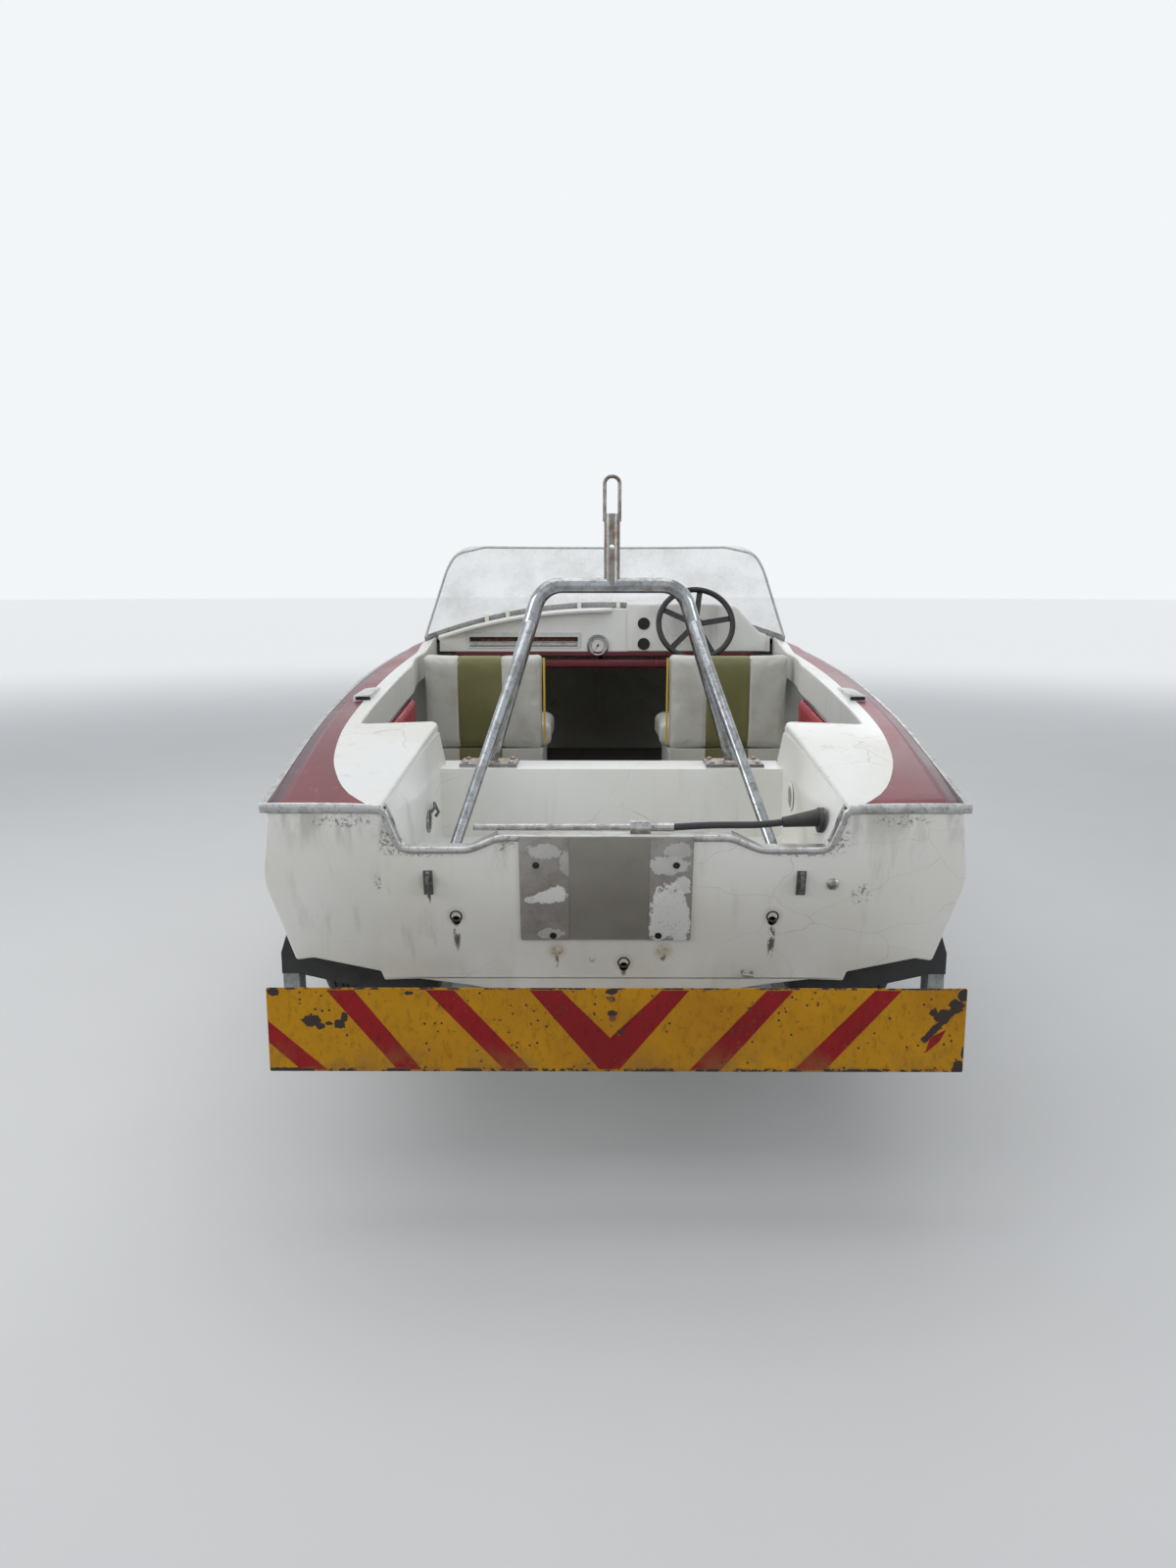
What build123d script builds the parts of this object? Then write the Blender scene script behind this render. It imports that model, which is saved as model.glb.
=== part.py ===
from build123d import *
import os
from math import cos, radians, sin, sqrt, tan
from typing import NamedTuple

os.makedirs("parts", exist_ok=True)

# Clearance between neighbouring pieces that seat on curved faces or run in each other
fit_gap = 0.3

# Reach of the trailer aft and forward of the transom's top edge
board_reach = 200
coupling_reach = 5600
transom_y = -(coupling_reach - board_reach) / 2

# Hull shell
transom_top_z = 985
transom_rake = 12
transom_thick = 46
hull_skin = 10
keel_skin = 14
chine_inset = 25
chine_lift = 22
stem_solid = 150

# Notch in the transom's top: low flats beside a raised pad for the outboard motor
notch_half = 498
notch_top_half = 530
notch_top_z = 963
notch_z = 885
pad_foot_half = 340
pad_half = 270
pad_z = 917

# Outboard motor's plate and its four bolt holes
plate_wide = 405
plate_tall = 268
plate_thick = 4
plate_x = -20
bolt_hole = 13
upper_bolt_span = 327.4
lower_bolt_span = 250.8
upper_bolt_z = 846
lower_bolt_z = 663

# Deck mouldings
deck_skin = 8
deck_edge = 22
deck_seat = 12
crown_inset = 30
screen_fwd = 2450
foredeck_skin = 10
foredeck_crown_z = 1365

# Splash well and cockpit
well_floor_z = 800
well_skin = 8
bulkhead_fwd = 580
bulkhead_thick = 12
bulkhead_top_z = 992
bulkhead_flange = 70
ledge_fwd = 500
ledge_skin = 8
well_half_aft = 500
well_half_fore = 466
crease_z_aft = 955
floor_z = 620
floor_thick = 15
floor_end_fwd = 3300

# Tow arch of bent tube
arch_tube = 42
arch_fwd = 575
arch_top_z = 1484
arch_top_half = 190
arch_foot_half = 338
arch_bend = 75
stay_tube = 28
stay_foot_half = 405
stay_foot_fwd = 125
stay_head_z = 1395
foot_plate_long = 158
foot_plate_wide = 110
foot_plate_thick = 8
post_tube = 43
post_top_z = 1672
loop_rod = 10
loop_half = 20
loop_top_z = 1774

# Dashboard, helm and windscreen
dash_thick = 20
dash_half = 720
dash_z = 1190
valance_z = 1100
valance_half = 655
helm_x = 388
helm_z = 1272
column_tilt = 25
column_long = 95
wheel_rim_size = 340
wheel_rim_grip = 24
spoke_count = 5
screen_half = 780
screen_bulge = 170
screen_rake = 28
screen_thick = 5
screen_top_z = 1635
screen_shoulder_x = 628
screen_shoulder_z = 1606
screen_channel = 16
screen_channel_tall = 34

# Seats
seat_in_x = 240
seat_out_x = 736
seat_back_fwd = 1950
seat_back_thick = 105
seat_back_z = 1215
seat_top_z = 925
cushion_thick = 110
cushion_long = 470
seat_recline = 8

# Trailer chassis
rail_half = 450
rail_wide = 40
rail_tall = 80
rail_z = 420
rail_straight_end = 3000
rail_join = 4500
cross_tall = 50
cross_wide = 50
drawbar_wide = 80
drawbar_start = 4150
coupling_long = 220

# Road wheels, axle and springs
axle_fwd = 1450
tyre_size = 578
tyre_wide = 155
rim_size = 334
wheel_half_track = 915
axle_beam = 45
stub_size = 30
spring_half_span = 300
spring_thick = 18
spring_drop = 40
guard_gap = 52
guard_thick = 3
guard_skirt = 45
guard_hull_gap = 10

# Rear warning board and cradle
board_half = 760
board_low_z = 436
board_top_z = 628
board_thick = 6
cradle_fwd = 120
cradle_long = 80
cradle_half = 815
cradle_low_z = 546

# Keel rollers
roller_size = 70
roller_long = 120
roller_pin = 16

# Jockey wheel
jockey_fwd = 4950
jockey_x = 98
jockey_tube = 52
jockey_leg_size = 45
jockey_wheel_size = 200
jockey_wheel_wide = 50
jockey_trail = 32
jockey_travel = 180
jockey_bore_gap = 0.5

# Winch post
post_fwd = 4800
winch_post_wide = 60
post_foot_half = 60
post_foot_aft = 40
post_foot_fore = 140
post_foot_thick = 8
winch_z = 800


class Station(NamedTuple):
    """Hull section: heights and half-breadths at a distance forward of the transom."""

    fwd: float
    keel_z: float
    strake: float
    chine_x: float
    chine_z: float
    knuckle_x: float
    knuckle_z: float
    sheer_x: float
    sheer_z: float


stations = (
    Station(0, 455, 1.0, 766, 592, 825, 805, 797, 975),
    Station(800, 455, 1.0, 785, 600, 845, 830, 832, 1086),
    Station(1600, 455, 1.0, 790, 615, 862, 862, 860, 1142),
    Station(2400, 458, 1.0, 775, 645, 868, 900, 873, 1166),
    Station(3000, 470, 1.0, 725, 690, 845, 935, 864, 1178),
    Station(3500, 500, 0.9, 632, 745, 768, 975, 800, 1188),
    Station(3950, 556, 0.7, 485, 810, 618, 1015, 672, 1197),
    Station(4300, 645, 0.5, 318, 875, 432, 1050, 500, 1205),
    Station(4550, 770, 0.3, 165, 945, 245, 1090, 300, 1211),
    Station(4700, 950, 0.2, 34, 1030, 52, 1130, 70, 1215),
)

# Bottom between keel and chine: share of the chine's half-breadth, height off the straight line
strakes = ((0.47, 6), (0.62, 1), (0.726, -17), (0.736, 6), (0.945, 14), (1.0, 0))

# Deck inner edge: distance forward, half-breadth, rise of crown and edge over the sheer, lip depth
quarter_deck_rows = ((0, 540, 18, 12, 12), (580, 482, 38, 42, 30))
side_deck_rows = (
    (580, 700, 36, 47, 105),
    (800, 702, 36, 47, 105),
    (1600, 714, 36, 47, 105),
    (2000, 750, 36, 46, 105),
    (2400, 738, 36, 44, 80),
    (2450, 735, 36, 42, 70),
)

# Foredeck: distance forward, height of the crown on the centreline
foredeck_rows = (
    (screen_fwd, foredeck_crown_z),
    (3000, foredeck_crown_z - 3),
    (3500, foredeck_crown_z - 15),
    (3950, foredeck_crown_z - 40),
    (4300, foredeck_crown_z - 70),
    (4550, foredeck_crown_z - 102),
    (4700, foredeck_crown_z - 125),
)

sides = (("port", -1), ("starboard", 1))


def place(distance):
    """Frame y of a distance forward of the transom's top edge."""
    return transom_y + distance


def across(distance):
    """Section plane seen from aft: x to starboard, y up, extruding aft."""
    return Plane(origin=(0, place(distance), 0), x_dir=(1, 0, 0), z_dir=(0, -1, 0))


def block(x_span, fwd_span, z_span):
    """Box between low and high x, distance forward and z."""
    centre = (sum(x_span) / 2, place(sum(fwd_span) / 2), sum(z_span) / 2)
    with BuildPart(mode=Mode.PRIVATE) as box:
        with Locations(centre):
            Box(x_span[1] - x_span[0], fwd_span[1] - fwd_span[0], z_span[1] - z_span[0])
    return box.part


def mirrored_block(side, x_span, fwd_span, z_span):
    """Box given for starboard, put on the side asked for."""
    return block(sorted(side * x for x in x_span), fwd_span, z_span)


def section_bar(points, aft, fore):
    """Outline of x and z points, extruded between two distances forward."""
    with BuildPart(mode=Mode.PRIVATE) as bar:
        with BuildSketch(across(fore)):
            with BuildLine():
                Polyline(*points, close=True)
            make_face()
        extrude(amount=fore - aft)
    return bar.part


def side_bar(points, x_span):
    """Outline of distance forward and z points, extruded from low to high x."""
    with BuildPart(mode=Mode.PRIVATE) as bar:
        with BuildSketch(Plane.YZ.offset(x_span[0])):
            with BuildLine():
                Polyline(*((place(distance), z) for distance, z in points), close=True)
            make_face()
        extrude(amount=x_span[1] - x_span[0])
    return bar.part


def plan_bar(points, z_span):
    """Outline of x and distance forward points, extruded from low to high z."""
    with BuildPart(mode=Mode.PRIVATE) as bar:
        with BuildSketch(Plane.XY.offset(z_span[0])):
            with BuildLine():
                Polyline(*((x, place(distance)) for x, distance in points), close=True)
            make_face()
        extrude(amount=z_span[1] - z_span[0])
    return bar.part


def rod(start, end, radius):
    """Round bar between two points of x, distance forward and z."""
    low = Vector(start[0], place(start[1]), start[2])
    high = Vector(end[0], place(end[1]), end[2])
    run = high - low
    with BuildPart(Plane(origin=low, z_dir=run), mode=Mode.PRIVATE) as bar:
        Cylinder(radius, run.length, align=(Align.CENTER, Align.CENTER, Align.MIN))
    return bar.part


def bent_rod(points, bends, radius):
    """Round bar along straight runs joined by tangent arcs."""
    route = [(x, place(distance), z) for x, distance, z in points]
    with BuildPart(mode=Mode.PRIVATE) as bar:
        with BuildLine() as path:
            FilletPolyline(*route, radius=bends)
        with BuildSketch(Plane(origin=path.line @ 0, z_dir=path.line % 0)):
            Circle(radius)
        sweep(path=path.line)
    return bar.part


def section_loft(rows):
    """Straight-sided loft through outlines, each a distance forward and its x and z points."""
    with BuildPart(mode=Mode.PRIVATE) as body:
        for distance, points in rows:
            with BuildSketch(across(distance)):
                with BuildLine():
                    Polyline(*points, close=True)
                make_face()
        loft(ruled=True)
    return body.part


def save(piece, name):
    piece.part.label = name
    export_step(piece.part, f"parts/{name}.step")


def both_sides(half):
    """Closed outline from its starboard half, which starts on the centreline."""
    return half + [(-x, z) for x, z in reversed(half[1:])]


def station_at(distance):
    """Hull section between the tabled ones, on the straight-sided loft."""
    for low, high in zip(stations, stations[1:]):
        if distance <= high.fwd:
            break
    share = (distance - low.fwd) / (high.fwd - low.fwd)
    return Station(*(a + (b - a) * share for a, b in zip(low, high)))


def outer_half(s, grow=0):
    """Starboard half of the hull's outside, from keel to sheer."""
    half = [(0, s.keel_z - grow)]
    for share, lift in strakes:
        x = share * s.chine_x
        z = s.keel_z + (s.chine_z - s.keel_z) * share + lift * s.strake
        half.append((x + grow, z - grow))
    half.append((s.knuckle_x + grow, s.knuckle_z))
    half.append((s.sheer_x + grow, s.sheer_z))
    return half


def inner_half(s, shrink=0):
    """Starboard half of the hull's inside, carried on above the sheer."""
    flare = (s.sheer_x - s.knuckle_x) / (s.sheer_z - s.knuckle_z)
    above = 60
    return [
        (0, s.keel_z + keel_skin + shrink),
        (s.chine_x - chine_inset - shrink, s.chine_z + chine_lift + shrink),
        (s.knuckle_x - hull_skin - shrink, s.knuckle_z),
        (s.sheer_x - hull_skin - shrink + flare * above, s.sheer_z + above),
    ]


def transom_plane(inward=0):
    """Plane of the raked transom, its normal pointing aft."""
    slope = radians(transom_rake)
    normal = Vector(0, -cos(slope), -sin(slope))
    top = Vector(0, transom_y, transom_top_z) - normal * inward
    return Plane(origin=top, x_dir=(1, 0, 0), z_dir=normal)


def transom_fwd(z):
    """Distance forward of the transom's outer face at a height."""
    return (transom_top_z - z) * tan(radians(transom_rake))


def hull_solid(grow=0):
    """The hull's outside as one closed form."""
    with BuildPart(mode=Mode.PRIVATE) as body:
        add(section_loft([(s.fwd, both_sides(outer_half(s, grow))) for s in stations]))
        split(bisect_by=transom_plane(-grow), keep=Keep.BOTTOM)
    return body.part


def hull_room(shrink=0):
    """The space inside the hull's shell."""
    last = stations[-1].fwd - stem_solid
    rows = [s for s in stations if s.fwd < last] + [station_at(last)]
    with BuildPart(mode=Mode.PRIVATE) as body:
        add(section_loft([(s.fwd, both_sides(inner_half(s, shrink))) for s in rows]))
        split(bisect_by=transom_plane(transom_thick + shrink), keep=Keep.BOTTOM)
    return body.part


def transom_hole(x, z, size):
    """Bar square through the transom, to cut a hole with."""
    middle = Vector(x, place(transom_fwd(z)), z)
    with BuildPart(Plane(origin=middle, z_dir=transom_plane().z_dir), mode=Mode.PRIVATE) as bar:
        Cylinder(size / 2, 4 * transom_thick)
    return bar.part


def bolt_places():
    """Centres of the motor plate's bolt holes, in x and z."""
    spans = ((upper_bolt_span, upper_bolt_z), (lower_bolt_span, lower_bolt_z))
    return [(plate_x + side * span / 2, z) for span, z in spans for _, side in sides]


# Hull shell with its raked transom
drain_places = ((-376, 712), (376, 712))
bung_place = (24, 588)
drain_hole = 22
notch = [
    (-notch_half, notch_z),
    (-pad_foot_half, notch_z),
    (-pad_half, pad_z),
    (pad_half, pad_z),
    (pad_foot_half, notch_z),
    (notch_half, notch_z),
    (notch_top_half, notch_top_z),
    (notch_top_half, transom_top_z + 100),
    (-notch_top_half, transom_top_z + 100),
    (-notch_top_half, notch_top_z),
]
with BuildPart() as hull:
    add(hull_solid())
    add(hull_room(), mode=Mode.SUBTRACT)
    add(section_bar(notch, -50, 150), mode=Mode.SUBTRACT)
    for x, z in bolt_places():
        add(transom_hole(x, z, bolt_hole), mode=Mode.SUBTRACT)
    for x, z in drain_places:
        add(transom_hole(x, z, drain_hole), mode=Mode.SUBTRACT)
save(hull, "hull")


def deck_section(side, row):
    """Side deck outline: edge, crown, inner edge and its lip, then back under the skin."""
    distance, inner_x, crown, rise, lip = row
    s = station_at(distance)
    x, z = s.sheer_x, s.sheer_z
    points = [
        (x, z),
        (x, z + deck_edge * min(1, crown / 36)),
        (x - crown_inset, z + crown),
        (inner_x, z + rise),
        (inner_x, z + rise - lip),
        (inner_x + deck_skin, z + rise - lip),
        (inner_x + deck_skin, z + rise - deck_skin),
        (x - crown_inset, z + crown - deck_skin),
        (x - deck_seat, z + deck_edge * min(1, crown / 36) - deck_skin),
        (x - deck_seat, z),
    ]
    return distance, [(side * x, z) for x, z in points]


# Side decks, each with its quarter deck beside the splash well
for name, side in sides:
    with BuildPart() as side_deck:
        add(section_loft([deck_section(side, row) for row in quarter_deck_rows]))
        split(bisect_by=transom_plane(), keep=Keep.BOTTOM)
        add(section_loft([deck_section(side, row) for row in side_deck_rows]))
    save(side_deck, f"side_deck_{name}")

# Crowned foredeck
with BuildPart() as foredeck:
    for distance, crown_z in foredeck_rows:
        s = station_at(distance)
        x, z = s.sheer_x, s.sheer_z
        with BuildSketch(across(distance)):
            with BuildLine():
                Line((x, z), (x, z + deck_edge))
                ThreePointArc((x, z + deck_edge), (0, crown_z), (-x, z + deck_edge))
                Polyline(
                    (-x, z + deck_edge), (-x, z), (-x + deck_seat, z),
                    (-x + deck_seat, z + deck_edge - foredeck_skin),
                )
                ThreePointArc(
                    (-x + deck_seat, z + deck_edge - foredeck_skin),
                    (0, crown_z - foredeck_skin),
                    (x - deck_seat, z + deck_edge - foredeck_skin),
                )
                Polyline(
                    (x - deck_seat, z + deck_edge - foredeck_skin), (x - deck_seat, z), (x, z),
                )
            make_face()
    loft(ruled=True)
save(foredeck, "foredeck")


def deck_crown(x):
    """Height of the foredeck's aft edge at a half-breadth."""
    s = station_at(screen_fwd)
    edge_z = s.sheer_z + deck_edge
    sag = foredeck_crown_z - edge_z
    radius = (s.sheer_x ** 2 + sag ** 2) / (2 * sag)
    return foredeck_crown_z - radius + sqrt(radius ** 2 - x ** 2)


# Rub rails along the deck's edge, meeting at the bow
rail_out = 18
bow = stations[-1]
for name, side in sides:
    rows = []
    for s in stations:
        near = s.sheer_x + fit_gap
        far = s.sheer_x + rail_out
        outline = [(near, s.sheer_z), (far, s.sheer_z + 4), (far, s.sheer_z + 18), (near, s.sheer_z + 22)]
        rows.append((s.fwd, [(side * x, z) for x, z in outline]))
    with BuildPart() as rub_rail:
        add(section_loft(rows))
        split(bisect_by=transom_plane(), keep=Keep.BOTTOM)
        bow_span = (fit_gap, bow.sheer_x + rail_out)
        bow_fwd = (bow.fwd + fit_gap, bow.fwd + rail_out)
        add(mirrored_block(side, bow_span, bow_fwd, (bow.sheer_z, bow.sheer_z + 22)))
        add(mirrored_block(
            side, (bow.sheer_x + fit_gap, bow_span[1]), (bow.fwd, bow_fwd[1]),
            (bow.sheer_z + 4, bow.sheer_z + 18),
        ))
    save(rub_rail, f"rub_rail_{name}")


def well_outline(distance):
    """Splash well trough: starboard top edge down, across and up, then back outside it."""
    aft, fore = quarter_deck_rows
    share = (distance - aft[0]) / (fore[0] - aft[0])
    inner_x, _, rise, lip = (a + (b - a) * share for a, b in zip(aft[1:], fore[1:]))
    top_z = station_at(distance).sheer_z + rise - lip
    half = well_half_aft + (well_half_fore - well_half_aft) * share
    crease_z = crease_z_aft + (bulkhead_top_z - crease_z_aft) * share
    inside = [(inner_x, top_z), (half, crease_z), (half, well_floor_z)]
    outside = [(half + well_skin, well_floor_z - well_skin), (half + well_skin, crease_z)]
    outside.append((inner_x + well_skin, top_z))
    ring = inside + [(-x, z) for x, z in reversed(inside)]
    ring += [(-x, z) for x, z in reversed(outside)] + outside
    return distance, ring


# Splash well behind the cockpit
with BuildPart() as splash_well:
    add(section_loft([well_outline(0), well_outline(bulkhead_fwd)]))
    split(bisect_by=transom_plane(transom_thick), keep=Keep.BOTTOM)
save(splash_well, "splash_well")

# Bulkhead between well and cockpit with the arch's ledge, its cheeks closing the quarter decks
bulkhead_aft = bulkhead_fwd + fit_gap
bulkhead_end = bulkhead_fwd + bulkhead_thick
ledge_half = well_half_fore - fit_gap
cheek_in = quarter_deck_rows[1][1]
cheek_out = side_deck_rows[0][1] - fit_gap
cheek_z = station_at(bulkhead_fwd).sheer_z + quarter_deck_rows[1][3]
with BuildPart() as bulkhead:
    add(block((-900, 900), (bulkhead_aft, bulkhead_end), (floor_z + floor_thick, bulkhead_top_z)))
    add(hull_room(fit_gap), mode=Mode.INTERSECT)
    for _, side in sides:
        add(mirrored_block(
            side, (cheek_in, cheek_out), (bulkhead_aft, bulkhead_end), (bulkhead_top_z, cheek_z),
        ))
    add(block(
        (-ledge_half, ledge_half), (ledge_fwd, ledge_fwd + ledge_skin),
        (well_floor_z + fit_gap, bulkhead_top_z),
    ))
    add(block(
        (-ledge_half, ledge_half), (ledge_fwd, bulkhead_fwd + bulkhead_flange),
        (bulkhead_top_z - ledge_skin, bulkhead_top_z),
    ))
save(bulkhead, "bulkhead")

# Cockpit floor, cut to the inside of the hull
with BuildPart() as cockpit_floor:
    add(block((-900, 900), (bulkhead_aft, floor_end_fwd), (floor_z, floor_z + floor_thick)))
    add(hull_room(fit_gap), mode=Mode.INTERSECT)
save(cockpit_floor, "cockpit_floor")

# Aluminium trim along the transom's top edges, ending at the motor pad
trim_thick = 4
with BuildPart() as transom_trim:
    for _, side in sides:
        lower = [(pad_half + 4, pad_z), (pad_foot_half, notch_z), (notch_half, notch_z)]
        lower.append((notch_top_half, notch_top_z))
        upper = [(x - (trim_thick if z > notch_z else 0), z + trim_thick) for x, z in reversed(lower)]
        upper[-1] = (pad_half + 4, pad_z + trim_thick)
        outline = [(side * x, z) for x, z in lower + upper]
        add(section_bar(outline, transom_fwd(notch_z), transom_fwd(pad_z) + transom_thick))
save(transom_trim, "transom_trim")

# Motor plate on the transom, drilled for the motor's bolts
plate_top_z = pad_z
plate_drop = plate_tall * cos(radians(transom_rake))
plate_middle = Vector(plate_x, place(transom_fwd(plate_top_z - plate_drop / 2)), plate_top_z - plate_drop / 2)
plate_plane = Plane(origin=plate_middle, x_dir=(1, 0, 0), z_dir=transom_plane().z_dir)
with BuildPart() as motor_plate:
    with BuildSketch(plate_plane):
        Rectangle(plate_wide, plate_tall)
    extrude(amount=plate_thick)
    for x, z in bolt_places():
        add(transom_hole(x, z, bolt_hole), mode=Mode.SUBTRACT)
save(motor_plate, "motor_plate")


def on_transom(x, z, out=0):
    """Plane on the transom's outer face, its normal pointing aft."""
    face = transom_plane()
    origin = Vector(x, place(transom_fwd(z)), z) + face.z_dir * out
    return Plane(origin=origin, x_dir=(1, 0, 0), z_dir=face.z_dir)


# Ski eyes, each a bent rod on a small plate
with BuildPart() as ski_eyes:
    for _, side in sides:
        with BuildSketch(on_transom(side * 437, 800)):
            Rectangle(22, 62)
        extrude(amount=3)
        face = on_transom(side * 437, 800, 3)
        with BuildSketch(Plane(origin=face.origin, x_dir=face.y_dir, z_dir=face.x_dir)):
            SlotOverall(50, 44)
            SlotOverall(34, 28, mode=Mode.SUBTRACT)
            with Locations((0, -25)):
                Rectangle(80, 50, mode=Mode.SUBTRACT)
        extrude(amount=4, both=True)
save(ski_eyes, "ski_eyes")

# Drain flanges, the lowest one closed, and a blanked round fitting
with BuildPart() as drain_fittings:
    for x, z in drain_places:
        with BuildSketch(on_transom(x, z)):
            Circle(16)
            Circle(drain_hole / 2, mode=Mode.SUBTRACT)
        extrude(amount=4)
    with BuildSketch(on_transom(*bung_place)):
        Circle(16)
    extrude(amount=4)
    with BuildSketch(on_transom(*bung_place, 2)):
        Circle(drain_hole / 2)
    extrude(amount=2, mode=Mode.SUBTRACT)
    with BuildSketch(on_transom(512, 797)):
        Circle(14)
    extrude(amount=6)
save(drain_fittings, "drain_fittings")

# Tow arch: hoop, foot plates and post in one welding
arch_foot_z = bulkhead_top_z + foot_plate_thick
arch_points = (
    (-arch_foot_half, arch_fwd, arch_foot_z),
    (-arch_top_half, arch_fwd, arch_top_z),
    (arch_top_half, arch_fwd, arch_top_z),
    (arch_foot_half, arch_fwd, arch_foot_z),
)
with BuildPart() as tow_arch:
    add(bent_rod(arch_points, arch_bend, arch_tube / 2))
    for _, side in sides:
        with Locations((side * arch_foot_half, place(arch_fwd), arch_foot_z - foot_plate_thick / 2)):
            Box(foot_plate_long, foot_plate_wide, foot_plate_thick)
    split(bisect_by=Plane.XY.offset(bulkhead_top_z), keep=Keep.TOP)
save(tow_arch, "tow_arch")

# Tow post on the hoop and the rope loop in its top
post_foot_z = arch_top_z + arch_tube / 2 - 6
with BuildPart() as tow_post:
    add(rod((0, arch_fwd, arch_top_z), (0, arch_fwd, post_top_z), post_tube / 2))
    add(tow_arch.part, mode=Mode.SUBTRACT)
    with Locations((0, place(arch_fwd), (post_foot_z + post_top_z) / 2)):
        Cylinder(7, post_tube * 2, rotation=(90, 0, 0), mode=Mode.SUBTRACT)
    loop_points = (
        (-loop_half, arch_fwd, post_top_z - 20),
        (-loop_half, arch_fwd, loop_top_z - loop_rod / 2),
        (loop_half, arch_fwd, loop_top_z - loop_rod / 2),
        (loop_half, arch_fwd, post_top_z - 20),
    )
    add(bent_rod(loop_points, loop_half - 1, loop_rod / 2))
save(tow_post, "tow_post")

# Stays from the hoop's corners down to the well's floor
stay_head_x = arch_top_half + (arch_foot_half - arch_top_half) * (
    (arch_top_z - stay_head_z) / (arch_top_z - arch_foot_z)
)
with BuildPart() as arch_stays:
    for _, side in sides:
        add(rod(
            (side * stay_head_x, arch_fwd, stay_head_z),
            (side * stay_foot_half, stay_foot_fwd, well_floor_z + 4), stay_tube / 2,
        ))
        with Locations((side * stay_foot_half, place(stay_foot_fwd), well_floor_z + 2.5)):
            Cylinder(30, 5)
    add(tow_arch.part, mode=Mode.SUBTRACT)
    split(bisect_by=Plane.XY.offset(well_floor_z), keep=Keep.TOP)
save(arch_stays, "arch_stays")

# Dashboard below the foredeck's aft edge, with a stowage slot and instrument holes
slot_span = (-590, -117)
slot_z = (1212, 1240)
gauge_places = ((-30, 1215, 48), (170, 1310, 26), (170, 1222, 26))
gauge_deep = 30
dash_aft = screen_fwd - dash_thick
with BuildPart() as dashboard:
    with BuildSketch(across(screen_fwd)):
        with BuildLine():
            end_z = deck_crown(dash_half)
            ThreePointArc((dash_half, end_z), (0, foredeck_crown_z), (-dash_half, end_z))
            Polyline((-dash_half, end_z), (-dash_half, dash_z), (dash_half, dash_z), (dash_half, end_z))
        make_face()
        with Locations((sum(slot_span) / 2, sum(slot_z) / 2)):
            Rectangle(slot_span[1] - slot_span[0], slot_z[1] - slot_z[0], mode=Mode.SUBTRACT)
        for x, z, radius in gauge_places:
            with Locations((x, z)):
                Circle(radius - 3, mode=Mode.SUBTRACT)
        with Locations((helm_x, helm_z)):
            Circle(20, mode=Mode.SUBTRACT)
    extrude(amount=dash_thick)
    for name, side in sides:
        add(section_loft([deck_section(side, row) for row in side_deck_rows]), mode=Mode.SUBTRACT)
save(dashboard, "dashboard")

# Gauges: a large one with a bright bezel and two small ones
with BuildPart() as gauges:
    for x, z, radius in gauge_places:
        with BuildSketch(across(dash_aft)):
            with Locations((x, z)):
                Circle(radius)
        extrude(amount=6)
        with BuildSketch(across(dash_aft + gauge_deep)):
            with Locations((x, z)):
                Circle(radius - 3 - fit_gap)
        extrude(amount=gauge_deep)
save(gauges, "gauges")

# Padded valance under the dashboard
with BuildPart() as valance:
    add(block((-valance_half, valance_half), (dash_aft - 12, dash_aft + 16), (valance_z, dash_z - fit_gap)))
    fillet(valance.edges().filter_by(Axis.X), 8)
    for x, z, radius in gauge_places:
        add(rod((x, dash_aft - 40, z), (x, screen_fwd + 40, z), radius + fit_gap), mode=Mode.SUBTRACT)
save(valance, "valance")

# Helm bezel and column, and the steering wheel on it
tilt = radians(column_tilt)
column_dir = Vector(0, -cos(tilt), sin(tilt))
helm_face = Vector(helm_x, place(dash_aft), helm_z)
wheel_middle = helm_face + column_dir * column_long
helm_plane = Plane(origin=helm_face, x_dir=(1, 0, 0), z_dir=column_dir)
hub_deep = 34
with BuildPart() as helm:
    with BuildSketch(across(dash_aft)):
        with Locations((helm_x, helm_z)):
            Circle(44)
    extrude(amount=14)
    with BuildSketch(helm_plane):
        Circle(26)
    extrude(amount=column_long - hub_deep - 6)
    split(bisect_by=across(dash_aft), keep=Keep.TOP)
    with BuildSketch(helm_plane.offset(column_long - hub_deep - 6)):
        Circle(9)
    extrude(amount=hub_deep)
save(helm, "helm")

wheel_plane = Plane(origin=wheel_middle, x_dir=(1, 0, 0), z_dir=column_dir)
rim_radius = (wheel_rim_size - wheel_rim_grip) / 2
first_spoke = 82
with BuildPart() as steering_wheel:
    with BuildSketch(wheel_plane.offset(-hub_deep)):
        Circle(30)
        Circle(9 + fit_gap, mode=Mode.SUBTRACT)
    extrude(amount=hub_deep - 6)
    with BuildSketch(wheel_plane.offset(-6)):
        Circle(30)
    extrude(amount=8)
    with BuildSketch(wheel_plane.offset(-8)):
        with PolarLocations(0, spoke_count, start_angle=first_spoke):
            with Locations((rim_radius / 2 + 10, 0)):
                Rectangle(rim_radius - 20, 24)
    extrude(amount=5)
    with BuildSketch(Plane(origin=wheel_middle, x_dir=(1, 0, 0), z_dir=wheel_plane.y_dir)):
        with Locations((rim_radius, 0)):
            Circle(wheel_rim_grip / 2)
    revolve(axis=Axis(wheel_middle, column_dir))
save(steering_wheel, "steering_wheel")

# Wraparound windscreen and the channel that holds its foot
screen_low_z = 1150
screen_dir = Vector(0, -sin(radians(screen_rake)), cos(radians(screen_rake)))


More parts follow.
